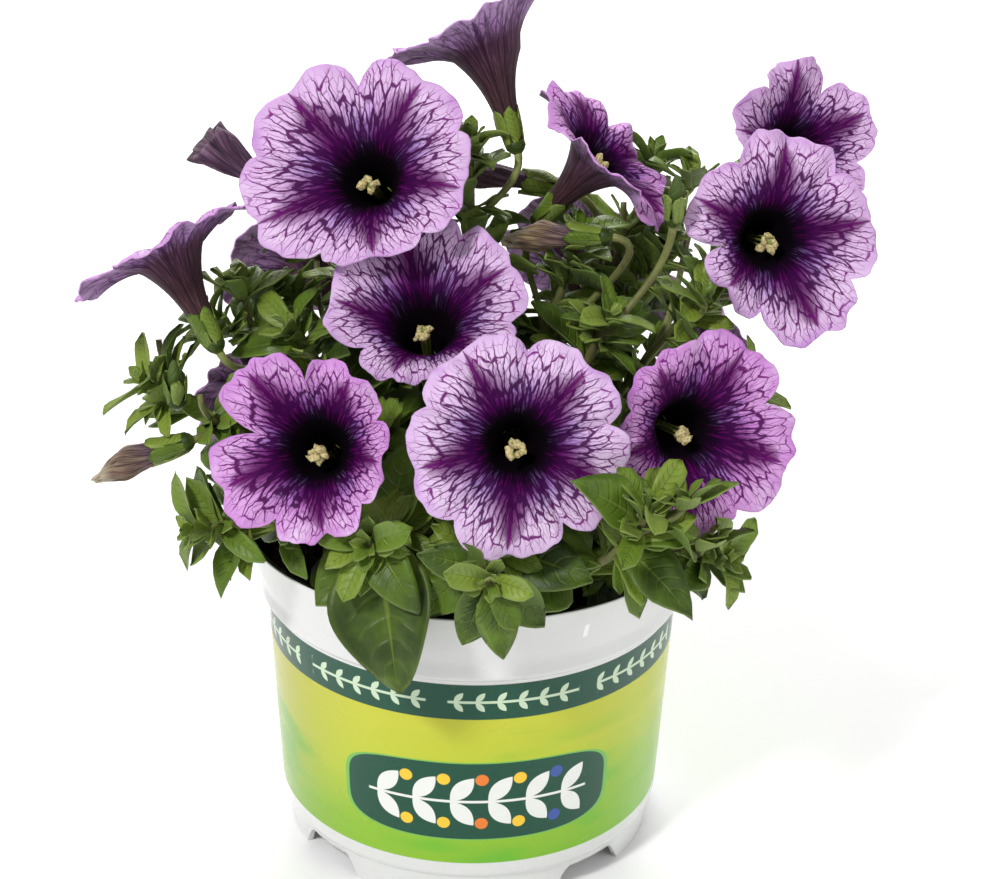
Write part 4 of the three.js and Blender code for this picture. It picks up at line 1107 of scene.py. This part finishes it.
# Every stem, in mm: its root in the soil, how straight it rises, its tip, the way it arrives
# there, how many leaves stand along it, its stalks, and any leaves that hang over the rim.
STEMS = {
    "stem_front": dict(
        root=(2, -16), lift=30, tip=(4, -72, 105), lead=(0, -22, -6), leaves=7,
        stalks=[(0.45, "bloom_front")],
        hung=[(0.97, (-6, -3, -17), 18, 10), (0.98, (4, -4, -20), 20, 10), (0.96, (12, 0, -12), 19, 11)]),
    "stem_front_right": dict(
        root=(11, -18), lift=20, tip=(40, -66, 122), lead=(6, -6, 26), leaves=6, stalks=[]),
    "stem_front_left": dict(
        root=(-9, -17), lift=26, tip=(-66, -42, 102), lead=(-24, -6, -2), leaves=8,
        stalks=[(0.4, "bloom_front_left")]),
    "stem_left": dict(
        root=(-16, -7), lift=26, tip=(-80, -18, 130), lead=(-22, -2, 14), leaves=8,
        stalks=[(0.72, "withered_left"), (0.86, (-72, -24, 128))]),
    "stem_upper_left": dict(
        root=(-11, 0), lift=40, tip=(-66, -4, 142), lead=(-20, 0, 16), leaves=8,
        stalks=[(0.7, "bloom_far_left")]),
    "stem_high_left": dict(
        root=(-5, 3), lift=50, tip=(-36, 6, 166), lead=(-12, 0, 26), leaves=8,
        stalks=[(0.6, "bloom_upper_left"), (0.75, "withered_upper_left")]),
    "stem_middle": dict(
        root=(-5, -8), lift=30, tip=(-24, -32, 122), lead=(-8, -10, 12), leaves=7,
        stalks=[(0.55, "bloom_middle")]),
    "stem_top": dict(
        root=(-1, 0), lift=60, tip=(-2, 8, 184), lead=(-1, 0, 30), leaves=7,
        stalks=[(0.72, "bloom_top")]),
    "stem_high_right": dict(
        root=(4, 3), lift=50, tip=(26, 10, 160), lead=(6, 2, 26), leaves=8,
        stalks=[(0.6, "bloom_top_right"), (0.5, "withered_middle")]),
    "stem_upper_right": dict(
        root=(9, 4), lift=50, tip=(46, 42, 170), lead=(8, 6, 34), leaves=7,
        stalks=[(0.5, "withered_behind")]),
    "stem_right": dict(
        root=(15, 1), lift=40, tip=(64, -2, 158), lead=(16, -4, 22), leaves=8,
        stalks=[(0.55, "bloom_upper_right"), (0.62, "bloom_far_right")]),
    "stem_right_low": dict(
        root=(17, -7), lift=26, tip=(66, -20, 132), lead=(20, -4, 12), leaves=8,
        stalks=[(0.45, "bloom_front_right")]),
    "stem_right_rim": dict(
        root=(19, -13), lift=20, tip=(60, -46, 98), lead=(18, -14, 0), leaves=5, stalks=[]),
    "stem_back_left": dict(
        root=(-8, 11), lift=40, tip=(-48, 24, 138), lead=(-16, 8, 16), leaves=6,
        stalks=[(0.6, "bloom_back_left")]),
    "stem_back": dict(
        root=(-3, 18), lift=24, tip=(24, 64, 97), lead=(12, 18, 0), leaves=6,
        stalks=[(0.45, "bloom_back_low")]),
    "stem_back_right": dict(
        root=(4, 11), lift=40, tip=(34, 40, 128), lead=(10, 12, 14), leaves=6,
        stalks=[(0.55, "bloom_back_right")]),
    "stem_left_back": dict(
        root=(-15, 8), lift=22, tip=(-58, 46, 98), lead=(-18, 16, 0), leaves=6,
        stalks=[(0.5, "bloom_left_back")]),
    "stem_right_back": dict(
        root=(14, 12), lift=22, tip=(52, 56, 98), lead=(16, 16, 0), leaves=6,
        stalks=[(0.5, "bloom_right_back")]),
    "shoot_rim": dict(
        root=(-4, -23), lift=22, tip=(-24, -60, 108), lead=(-6, -18, 0), leaves=6, stalks=[],
        hung=[(0.9, (4, -17, -30), 37, 25), (0.8, (-16, -9, -13), 24, 15)]),
    "shoot_middle_right": dict(
        root=(9, -9), lift=36, tip=(32, -16, 148), lead=(8, -4, 24), leaves=8,
        stalks=[(0.8, (47, -12, 172))]),
    "shoot_middle_left": dict(
        root=(-10, -10), lift=36, tip=(-44, -16, 144), lead=(-12, -4, 22), leaves=8, stalks=[]),
    "shoot_back_high": dict(
        root=(-2, 7), lift=44, tip=(-16, 30, 162), lead=(-4, 6, 26), leaves=5, stalks=[]),
    "shoot_back_side": dict(
        root=(10, 10), lift=40, tip=(50, 30, 150), lead=(14, 8, 22), leaves=5, stalks=[]),
}
# Short side branches that end in a rosette: where each leaves its stem, and its tip in mm.
SPRIGS = {
    "stem_front_right": [(0.8, (30, -66, 125)), (0.84, (48, -63, 121))],
    "stem_front_left": [(0.72, (-60, -37, 112)), (0.6, (-50, -40, 108))],
    "stem_left": [(0.66, (-66, -26, 130)), (0.8, (-78, -8, 137))],
    "stem_upper_left": [(0.7, (-57, -5, 149)), (0.84, (-66, -16, 146))],
    "stem_high_left": [(0.8, (-44, 14, 160))],
    "stem_upper_right": [(0.84, (56, 34, 166)), (0.74, (38, 34, 160))],
    "stem_right": [(0.8, (72, 6, 150)), (0.7, (56, -10, 150))],
    "stem_high_right": [(0.8, (34, 18, 156))],
    "stem_right_rim": [(0.76, (54, -52, 105))],
    "stem_back_left": [(0.74, (-42, 36, 142)), (0.86, (-56, 16, 138))],
    "stem_back_right": [(0.74, (26, 44, 136))],
    "stem_left_back": [(0.74, (-60, 32, 104))],
    "stem_right_back": [(0.74, (58, 44, 104))],
    "shoot_back_high": [(0.76, (-24, 34, 156))],
    "shoot_back_side": [(0.76, (42, 38, 148))],
}


class Curve:
    """A smooth line through space from four handles."""

    def __init__(self, *handles):
        self.handles = handles

    def at(self, share):
        first, second, third, last = self.handles
        rest = 1 - share
        return (first * rest ** 3 + second * (3 * rest * rest * share)
                + third * (3 * rest * share * share) + last * share ** 3)

    def along(self, share):
        return (self.at(min(share + 1e-4, 1)) - self.at(max(share - 1e-4, 0))).normalized()

    def axes(self, share):
        """The directions aside, over and along the line."""
        along = self.along(share)
        side = along.cross(UP).normalized()
        return side, side.cross(along), along

    def points(self, steps):
        return [self.at(step / steps) * MM for step in range(steps + 1)]


def stem_curve(stem):
    """The line of a main stem, from its root through the soil to its tip."""
    root = Vector((*stem["root"], ROOT_END))
    tip = Vector(stem["tip"])
    level = Vector((tip.x - root.x, tip.y - root.y, 0)) * 0.12
    return Curve(root, root + level + UP * stem["lift"], tip - Vector(stem["lead"]), tip)


def stalk_end(carried):
    """The foot of what a stalk carries and the way it points."""
    if carried in BLOOMS:
        _, _, face, foot = bloom_axes(BLOOMS[carried])
        return foot, face
    if carried in WITHERED_BLOOMS:
        foot = Vector(WITHERED_BLOOMS[carried]["foot"])
        return foot, (Vector(WITHERED_BLOOMS[carried]["tip"]) - foot).normalized()
    return Vector(carried), Vector((0, -0.2, 1)).normalized()


def stalk_curve(main, at, carried):
    """The line of a stalk, from its stem to the foot of what it carries."""
    start = main.at(at)
    foot, axis = stalk_end(carried)
    end = foot - axis * 1.2
    span = (end - start).length
    return Curve(start, start + main.along(at) * span * 0.35, end - axis * span * 0.4, end)


def draws(seed):
    """The same repeatable draws between 0 and 1 that placed the leaves of the plain stems."""
    whole = 0xFFFFFFFF
    state = (seed * 2654435761 + 97) & whole
    while True:
        state = (state + 0x6D2B79F5) & whole
        value = ((state ^ (state >> 15)) * (state | 1)) & whole
        value ^= (value + (((value ^ (value >> 7)) * (value | 61)) & whole)) & whole
        yield (value ^ (value >> 14)) / (whole + 1)


class Leaf:
    """One leaf, in mm: its base, the way it points, its upper side, its length and width, how far it
    folds up beside its midrib and how far it droops."""

    def __init__(self, base, way, up, length, width, keel, droop, in_tuft=False):
        self.base, self.way, self.length, self.width = base, way, length, width
        self.keel, self.droop, self.in_tuft = keel, droop, in_tuft
        self.across = way.cross(up).normalized()
        self.lift = self.across.cross(way).normalized()

    def point(self, aside, along, half):
        """A point of the blade: aside runs from -1 to 1 across it, where its half width is half."""
        bent = self.length * along * (1 - 0.12 * abs(self.droop) * along)
        middle = self.base + self.way * bent - self.lift * (self.length * self.droop * along * along)
        return middle + self.across * (half * aside) + self.lift * (half * self.keel * abs(aside) ** 1.4)


def outward(base):
    """The level way from the pot's axis to a point."""
    return Vector((base.x, base.y, 0)).normalized()


def planned_leaf(stem, stem_number, curve, leaf_number, attempt):
    """Where one leaf of a stem stands if this attempt is the one that found room."""
    draw = draws(stem_number * 1009 + leaf_number * 31 + attempt)
    in_tuft = leaf_number >= stem["leaves"]
    share = 1 if in_tuft else mix(LEAVES_FROM, LEAVES_TO, leaf_number / (stem["leaves"] - 1))
    at = TUFT_AT if in_tuft else share
    side, brow, along = curve.axes(at)
    stray = attempt * 0.22 * (next(draw) - 0.5) * 2
    turn = leaf_number * LEAF_TURN + stem_number * 1.3 + stray * 2 + (next(draw) - 0.5) * 0.5
    out = way_out(side, brow, turn)
    lean = 0.75 if in_tuft else mix(0.15, 0.5, share)
    way = (out + along * (lean + 0.3 * (next(draw) - 0.5)) + UP * 0.12).normalized()
    full = TIP_LEAF_LENGTH if in_tuft else mix(LEAF_LENGTH, TIP_LEAF_LENGTH + 4, share ** 1.5)
    length = full * (0.85 + 0.3 * next(draw)) * (1 - 0.055 * attempt)
    base = curve.at(at) + out * (STEM_RADIUS * 0.4)
    up = along * 0.4 + UP * 0.5 + outward(base) * 0.7
    return Leaf(base, way, up, length, length * LEAF_RATIO, keel=0.3 + 0.15 * next(draw),
                droop=0.1 + 0.3 * next(draw), in_tuft=in_tuft)


def leaf_outline(along, form):
    """The share of a leaf's half width at a share of its length: a pointed oval, or for the young
    leaves and the sepals a narrow base that widens to a blunt end."""
    if form == "big":
        return math.sin(math.pi * along ** 0.82) ** 0.72
    if form == "oval":
        return 0.92 * math.sin(math.pi * along ** 0.92) ** 0.8 * (0.3 + 0.7 * min(along / 0.25, 1))
    if along < 0.6:
        return mix(0.34, 0.9, math.sin(along / 0.6 * math.pi / 2) ** 1.3)
    return 0.9 * math.sqrt(max(1 - ((along - 0.6) / 0.4) ** 2.6, 0))


def leaf_into(body, leaf, seed, columns=4, rows=8, form="oval"):
    """Adds one thin leaf to a bmesh: keeled, drooping, waved along its edges, with a fold at its
    midrib, and closed by a wall."""
    draw = random.Random(seed)
    wave = draw.uniform(0.02, 0.06) * leaf.length
    phase = draw.uniform(0, math.tau)
    twist = draw.uniform(-0.16, 0.16)
    tones = body.verts.layers.float["tone"]
    tone = draw.random() + (1 if form == "young" else 0)

    def place(across, along):
        aside = across * 2 - 1
        half = leaf.width / 2 * leaf_outline(along, form) + 0.25
        point = leaf.point(aside, along, half)
        rise = wave * abs(aside) ** 2 * math.sin(along * 7 + phase + (1.6 if aside > 0 else 0))
        rise += twist * half * aside * along
        if form == "big":
            rise -= 0.05 * half * math.cos(aside * math.pi * 3) * math.sin(along * math.pi)
        return (point + leaf.lift * rise) * MM

    _, faces = bend(body, columns, rows, place, lambda across, along: (across, along))
    before = set(body.faces)
    bmesh.ops.solidify(body, geom=faces, thickness=LEAF_WALL)
    made = [face for face in body.faces if face not in before]
    for face in made:
        face.material_index = 1
        face.smooth = True
    for face in faces + made:
        for corner in face.verts:
            corner[tones] = tone


def young_into(body, leaves, seed):
    """Adds the small young leaves of side shoots and tips to a bmesh."""
    for number, leaf in enumerate(leaves):
        leaf_into(body, leaf, seed + number, 4, 5, "young")


def has_room(leaf):
    """Whether a leaf keeps a little away from every petal and from the pot's rim, above the soil and
    inside the plain model's box."""
    for along in (0.2, 0.45, 0.7, 1.0):
        for aside in (-1, 0, 1):
            point = leaf.point(aside, along, leaf.width / 2 * (0.3 if along == 1 else 0.9))
            far = point.xy.length
            by_rim = point.z < ABOVE_RIM and NEAR_RIM < far < PAST_RIM
            if point.z < ABOVE_SOIL or by_rim or (point.z < HANG_LOWEST and far > NEAR_RIM):
                return False
            if not all(low + 2 * MM < value * MM < high - 2 * MM
                       for low, value, high in zip(cad_box[0], point, cad_box[1])):
                return False
            if any(tree.find_nearest(point * MM, PETAL_GAP * MM)[0] for tree in petal_trees):
                return False
    return True


def side_tufts(stem_number, curve):
    """Small leafy side shoots between the leaves: three or four young leaves from one spot."""
    draw = random.Random(900 + stem_number)
    for number in range(SIDE_TUFTS):
        at = mix(0.3, 0.96, (number + draw.random()) / SIDE_TUFTS)
        side, brow, along = curve.axes(at)
        out = way_out(side, brow, number * LEAF_TURN + 1.2 + stem_number)
        base = curve.at(at) + out * (STEM_RADIUS * 0.5)
        for _ in range(draw.choice((3, 4))):
            stray = Vector((draw.uniform(-1, 1), draw.uniform(-1, 1), draw.uniform(-0.5, 1)))
            way = (out + along * 0.35 + stray * 0.75).normalized()
            length = draw.uniform(9, 19) * mix(1.1, 0.8, at)
            leaf = Leaf(base, way, UP * 0.7 + outward(base) * 0.6 + along * 0.3, length,
                        length * draw.uniform(0.34, 0.46), draw.uniform(0.2, 0.45), draw.uniform(0.05, 0.35))
            if has_room(leaf):
                yield leaf


def whorl(base, axis, count, length, lean, draw):
    """A ring of young leaves round a shoot, where there is room for them."""
    side, brow = axes_for(axis)
    for number in range(count):
        out = way_out(side, brow, (number + draw.uniform(-0.3, 0.3)) / count * math.tau)
        size = length * draw.uniform(0.75, 1.2)
        leaf = Leaf(base + out * 0.5, (axis + out * lean).normalized(), axis * lean - out, size,
                    size * draw.uniform(0.38, 0.5), draw.uniform(0.2, 0.4), draw.uniform(0.0, 0.3))
        if has_room(leaf):
            yield leaf


def rosette(curve, length, draw):
    """The crowded young leaves at the end of a shoot, shorter and more upright towards its tip."""
    axis = (curve.along(1) + UP * 0.3).normalized()
    for at, count, share, lean in ((0.9, 4, 1, 1.2), (0.95, 4, 0.75, 0.8), (0.99, 4, 0.5, 0.35)):
        yield from whorl(curve.at(at), axis, count, length * share, lean, draw)


def sprig_curve(main, at, tip):
    """The line of a short side branch, from its stem up to its tip."""
    start = main.at(at)
    span = (tip - start).length
    return Curve(start, start + main.along(at) * span * 0.35, tip - UP * span * 0.3, tip)


def sepals_into(body, foot, axis, length, seed):
    """Adds the green cup under a bloom: a small round base and five narrow leaves round the tube."""
    side, brow = axes_for(axis)
    base = [(foot + axis * height) * MM for height in (-2.4, -1.6, -0.6, 0.2, 0.9)]
    tube_along(body, base, [radius * MM for radius in (1.0, 1.9, 2.5, 2.5, 2.3)], 12)
    for number in range(LOBES):
        out = way_out(side, brow, number / LOBES * math.tau)
        leaf = Leaf(foot + out * 2.2 - axis * 0.6, (axis + out * 0.24).normalized(), -out,
                    length, length * 0.38, keel=0.35, droop=-0.12)
        leaf_into(body, leaf, seed * 7 + number, 4, 7, "young")


def hairs_into(body, points, radius, count, seed):
    """Adds short fine hairs that stand out from a stem."""
    draw = random.Random(seed)
    for _ in range(count):
        share = draw.uniform(0.08, 0.97) * (len(points) - 1)
        step = int(share)
        point = points[step].lerp(points[step + 1], share - step)
        along = (points[step + 1] - points[step]).normalized()
        side = along.orthogonal().normalized()
        side.rotate(Matrix.Rotation(draw.uniform(0, math.tau), 3, along))
        size = HAIR_LENGTH * draw.uniform(0.6, 1.2)
        turned = (side + along * draw.uniform(-0.1, 0.4)).to_track_quat("Z", "Y").to_matrix().to_4x4()
        at = Matrix.Translation(point + side * (radius * 0.8 + size / 2)) @ turned
        bmesh.ops.create_cone(body, cap_ends=True, segments=3, radius1=0.07 * MM, radius2=0.01 * MM,
                              depth=size, matrix=at)


def leaf_veins():
    """A leaf's pattern from its UV: the midrib, side veins that curve forward, and its rim."""
    wires = Effect("leaf_veins", {"Place": (0.0, 0.0, 0.0)}, ("Midrib", "Side", "Rim"))
    across, along, _ = wires.parts(wires.take["Place"])
    aside = abs(across * 2.0 - 1.0)
    wide = wires.step(along, 0.0, 1.0, 0.13, 0.03)
    row = wires.sum("FRACT", along * 7.0 - aside ** 1.5 * 1.7)
    side = wires.step(abs(row - 0.5), 0.16, 0.03) * wires.step(aside, 0.95, 0.4)
    return wires.set(Midrib=wires.step(aside, wide, wide * 0.25), Side=side, Rim=wires.step(aside, 0.86, 1.0))


LEAF_VEINS = leaf_veins()
GREEN_GLOW = (0.0006, 0.0012, 0.0003)


def leaf_green(name, deep, bright, young, shine):
    """A leaf's skin: mid green, yellower at its base and midrib and on young leaves, with a faint
    sheen of fine hairs."""
    wires = Finish(name, Roughness=shine, Sheen_Weight=0.04, Sheen_Roughness=0.45,
                   Subsurface_Weight=0.06, Subsurface_Radius=GREEN_GLOW, Specular_IOR_Level=0.35)
    place = wires.own_place()
    _, along, _ = wires.parts(place)
    tone = wires.attribute("tone")
    veins = wires.group(LEAF_VEINS, Place=place)
    patch = wires.cloud(wires.place(), 90.0, 4.0)
    shade = wires.blend(wires.step(patch + tone * 0.35, 0.4, 0.95), deep, bright)
    for share in (wires.step(tone, 1.0, 2.0, 0.0, 0.75), wires.step(along + patch * 0.2, 0.5, 0.02) * 0.7,
                  veins["Side"] * 0.08, veins["Midrib"] * 0.32, veins["Rim"] * 0.12):
        shade = wires.blend(share, shade, young)
    relief = wires.cloud(wires.place(), 900.0, 3.0) * 0.5 - (veins["Side"] * 0.7 + veins["Midrib"])
    return wires.set(Base_Color=shade, Normal=wires.bump(relief, 0.2 * MM))


def stem_green():
    """A pale green, slightly sticky stem, browner here and there."""
    wires = Finish("stem_green", Roughness=0.5, Sheen_Weight=0.2, Subsurface_Weight=0.08,
                   Subsurface_Radius=GREEN_GLOW)
    patch = wires.cloud(wires.place(), 60.0, 3.0)
    grain = wires.cloud(wires.place(), 800.0, 3.0)
    shade = wires.ramp(patch, [(0.35, 92, 84, 50), (0.5, 116, 122, 62), (0.68, 150, 162, 86)])
    return wires.set(Base_Color=wires.blend(grain * 0.3, shade, colour(104, 84, 50)),
                     Normal=wires.bump(grain, 0.15 * MM))


FOLIAGE_FINISHES = (
    leaf_green("leaf_top", colour(42, 62, 12), colour(92, 120, 30), colour(138, 158, 58), 0.45),
    leaf_green("leaf_under", colour(70, 90, 36), colour(104, 128, 54), colour(138, 156, 78), 0.58),
    stem_green())


def stands_on(tree, leaf):
    """Whether the plain stem has a leaf at this place: its edges and its tip lie on the solid."""
    along, wide = (0.55, 1.0) if leaf.in_tuft else (0.32, 0.88)
    edges = [leaf.point(aside, along, leaf.width / 2 * wide) for aside in (-1, 1)]
    if any(tree.find_nearest(point * MM)[3] > 0.3 * MM for point in edges):
        return False
    return tree.find_nearest(leaf.point(0, 1, 0) * MM)[3] < 0.5 * MM


def stalk_into(body, hair, carried, points, seeds):
    """Adds one stalk with its hairs and the green cup at its end, and a closed bud in an empty cup."""
    radii = [STALK_RADIUS * MM * mix(1.0, 1.25, (step / STALK_STEPS) ** 4) for step in range(STALK_STEPS + 1)]
    set_finish(tube_along(body, points, radii, 10), STEM_FINISH)
    hairs_into(hair, points, STALK_RADIUS * MM, STALK_HAIRS, seeds[0])
    foot, axis = stalk_end(carried)
    is_bud = not isinstance(carried, str)
    sepals_into(body, foot, axis, BUD_SEPAL_LENGTH if is_bud else SEPAL_LENGTH, seeds[1])
    if is_bud:
        bud = [(foot + axis * (along * BUD_LENGTH - 1.5)) * MM for along, _ in BUD_FORM]
        set_finish(tube_along(body, bud, [width * BUD_RADIUS * MM for _, width in BUD_FORM], 14), 1)


for stem_number, (name, stem) in enumerate(STEMS.items()):
    body = bmesh.new()
    body.verts.layers.float.new("tone")
    hair = bmesh.new()
    curve = stem_curve(stem)
    plain = bmesh.new()
    plain.from_mesh(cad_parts[name].data)
    tree = BVHTree.FromBMesh(plain)
    plain.free()
    points = curve.points(STEM_STEPS)
    radii = [STEM_RADIUS * MM * mix(1.08, 0.8, step / STEM_STEPS) for step in range(STEM_STEPS + 1)]
    set_finish(tube_along(body, points, radii, 12), STEM_FINISH)
    hairs_into(hair, points, STEM_RADIUS * MM, STEM_HAIRS, 100 + stem_number)
    for number, (at, carried) in enumerate(stem["stalks"]):
        stalk_into(body, hair, carried, stalk_curve(curve, at, carried).points(STALK_STEPS),
                   (200 + stem_number * 5 + number, stem_number * 31 + number))
    for at, way, length, width in stem.get("hung", ()):
        base = curve.at(at)
        leaf = Leaf(base, Vector(way).normalized(), Vector((base.x, base.y, 20)), length, width,
                    keel=0.18, droop=0.08)
        grid = (14, 18, "big") if length > BIG_LEAF_LENGTH else (6, 12)
        leaf_into(body, leaf, stem_number * 77 + length, *grid)
    for leaf_number in range(stem["leaves"] + TUFT):
        for attempt in range(TRIES):
            leaf = planned_leaf(stem, stem_number, curve, leaf_number, attempt)
            if stands_on(tree, leaf):
                form = "oval"
                if leaf.in_tuft:
                    leaf.width *= 0.8
                    form = "young"
                leaf_into(body, leaf, stem_number * 100 + leaf_number, form=form)
                break
    young_into(body, side_tufts(stem_number, curve), 5000 + stem_number * 50)
    draw = random.Random(1700 + stem_number)
    young = list(rosette(curve, ROSETTE_LEAF, draw))
    for at, tip in SPRIGS.get(name, ()):
        branch = sprig_curve(curve, at, Vector(tip))
        course = branch.points(SPRIG_STEPS)
        if any(tree.find_nearest(point, SPRIG_GAP * MM)[0] for tree in petal_trees for point in course):
            continue
        set_finish(tube_along(body, course, [SPRIG_RADIUS * MM] * len(course), 8), STEM_FINISH)
        young += list(rosette(branch, SPRIG_LEAF, draw))
        young += list(whorl(branch.at(0.5), branch.along(0.5), 2, 13, 1.3, draw))
    young_into(body, young, 9000 + stem_number * 60)
    piece(name + "_foliage", body, FOLIAGE_FINISHES, "foliage", name)
    piece(name + "_hairs", hair, (FOLIAGE_FINISHES[STEM_FINISH],), "foliage")
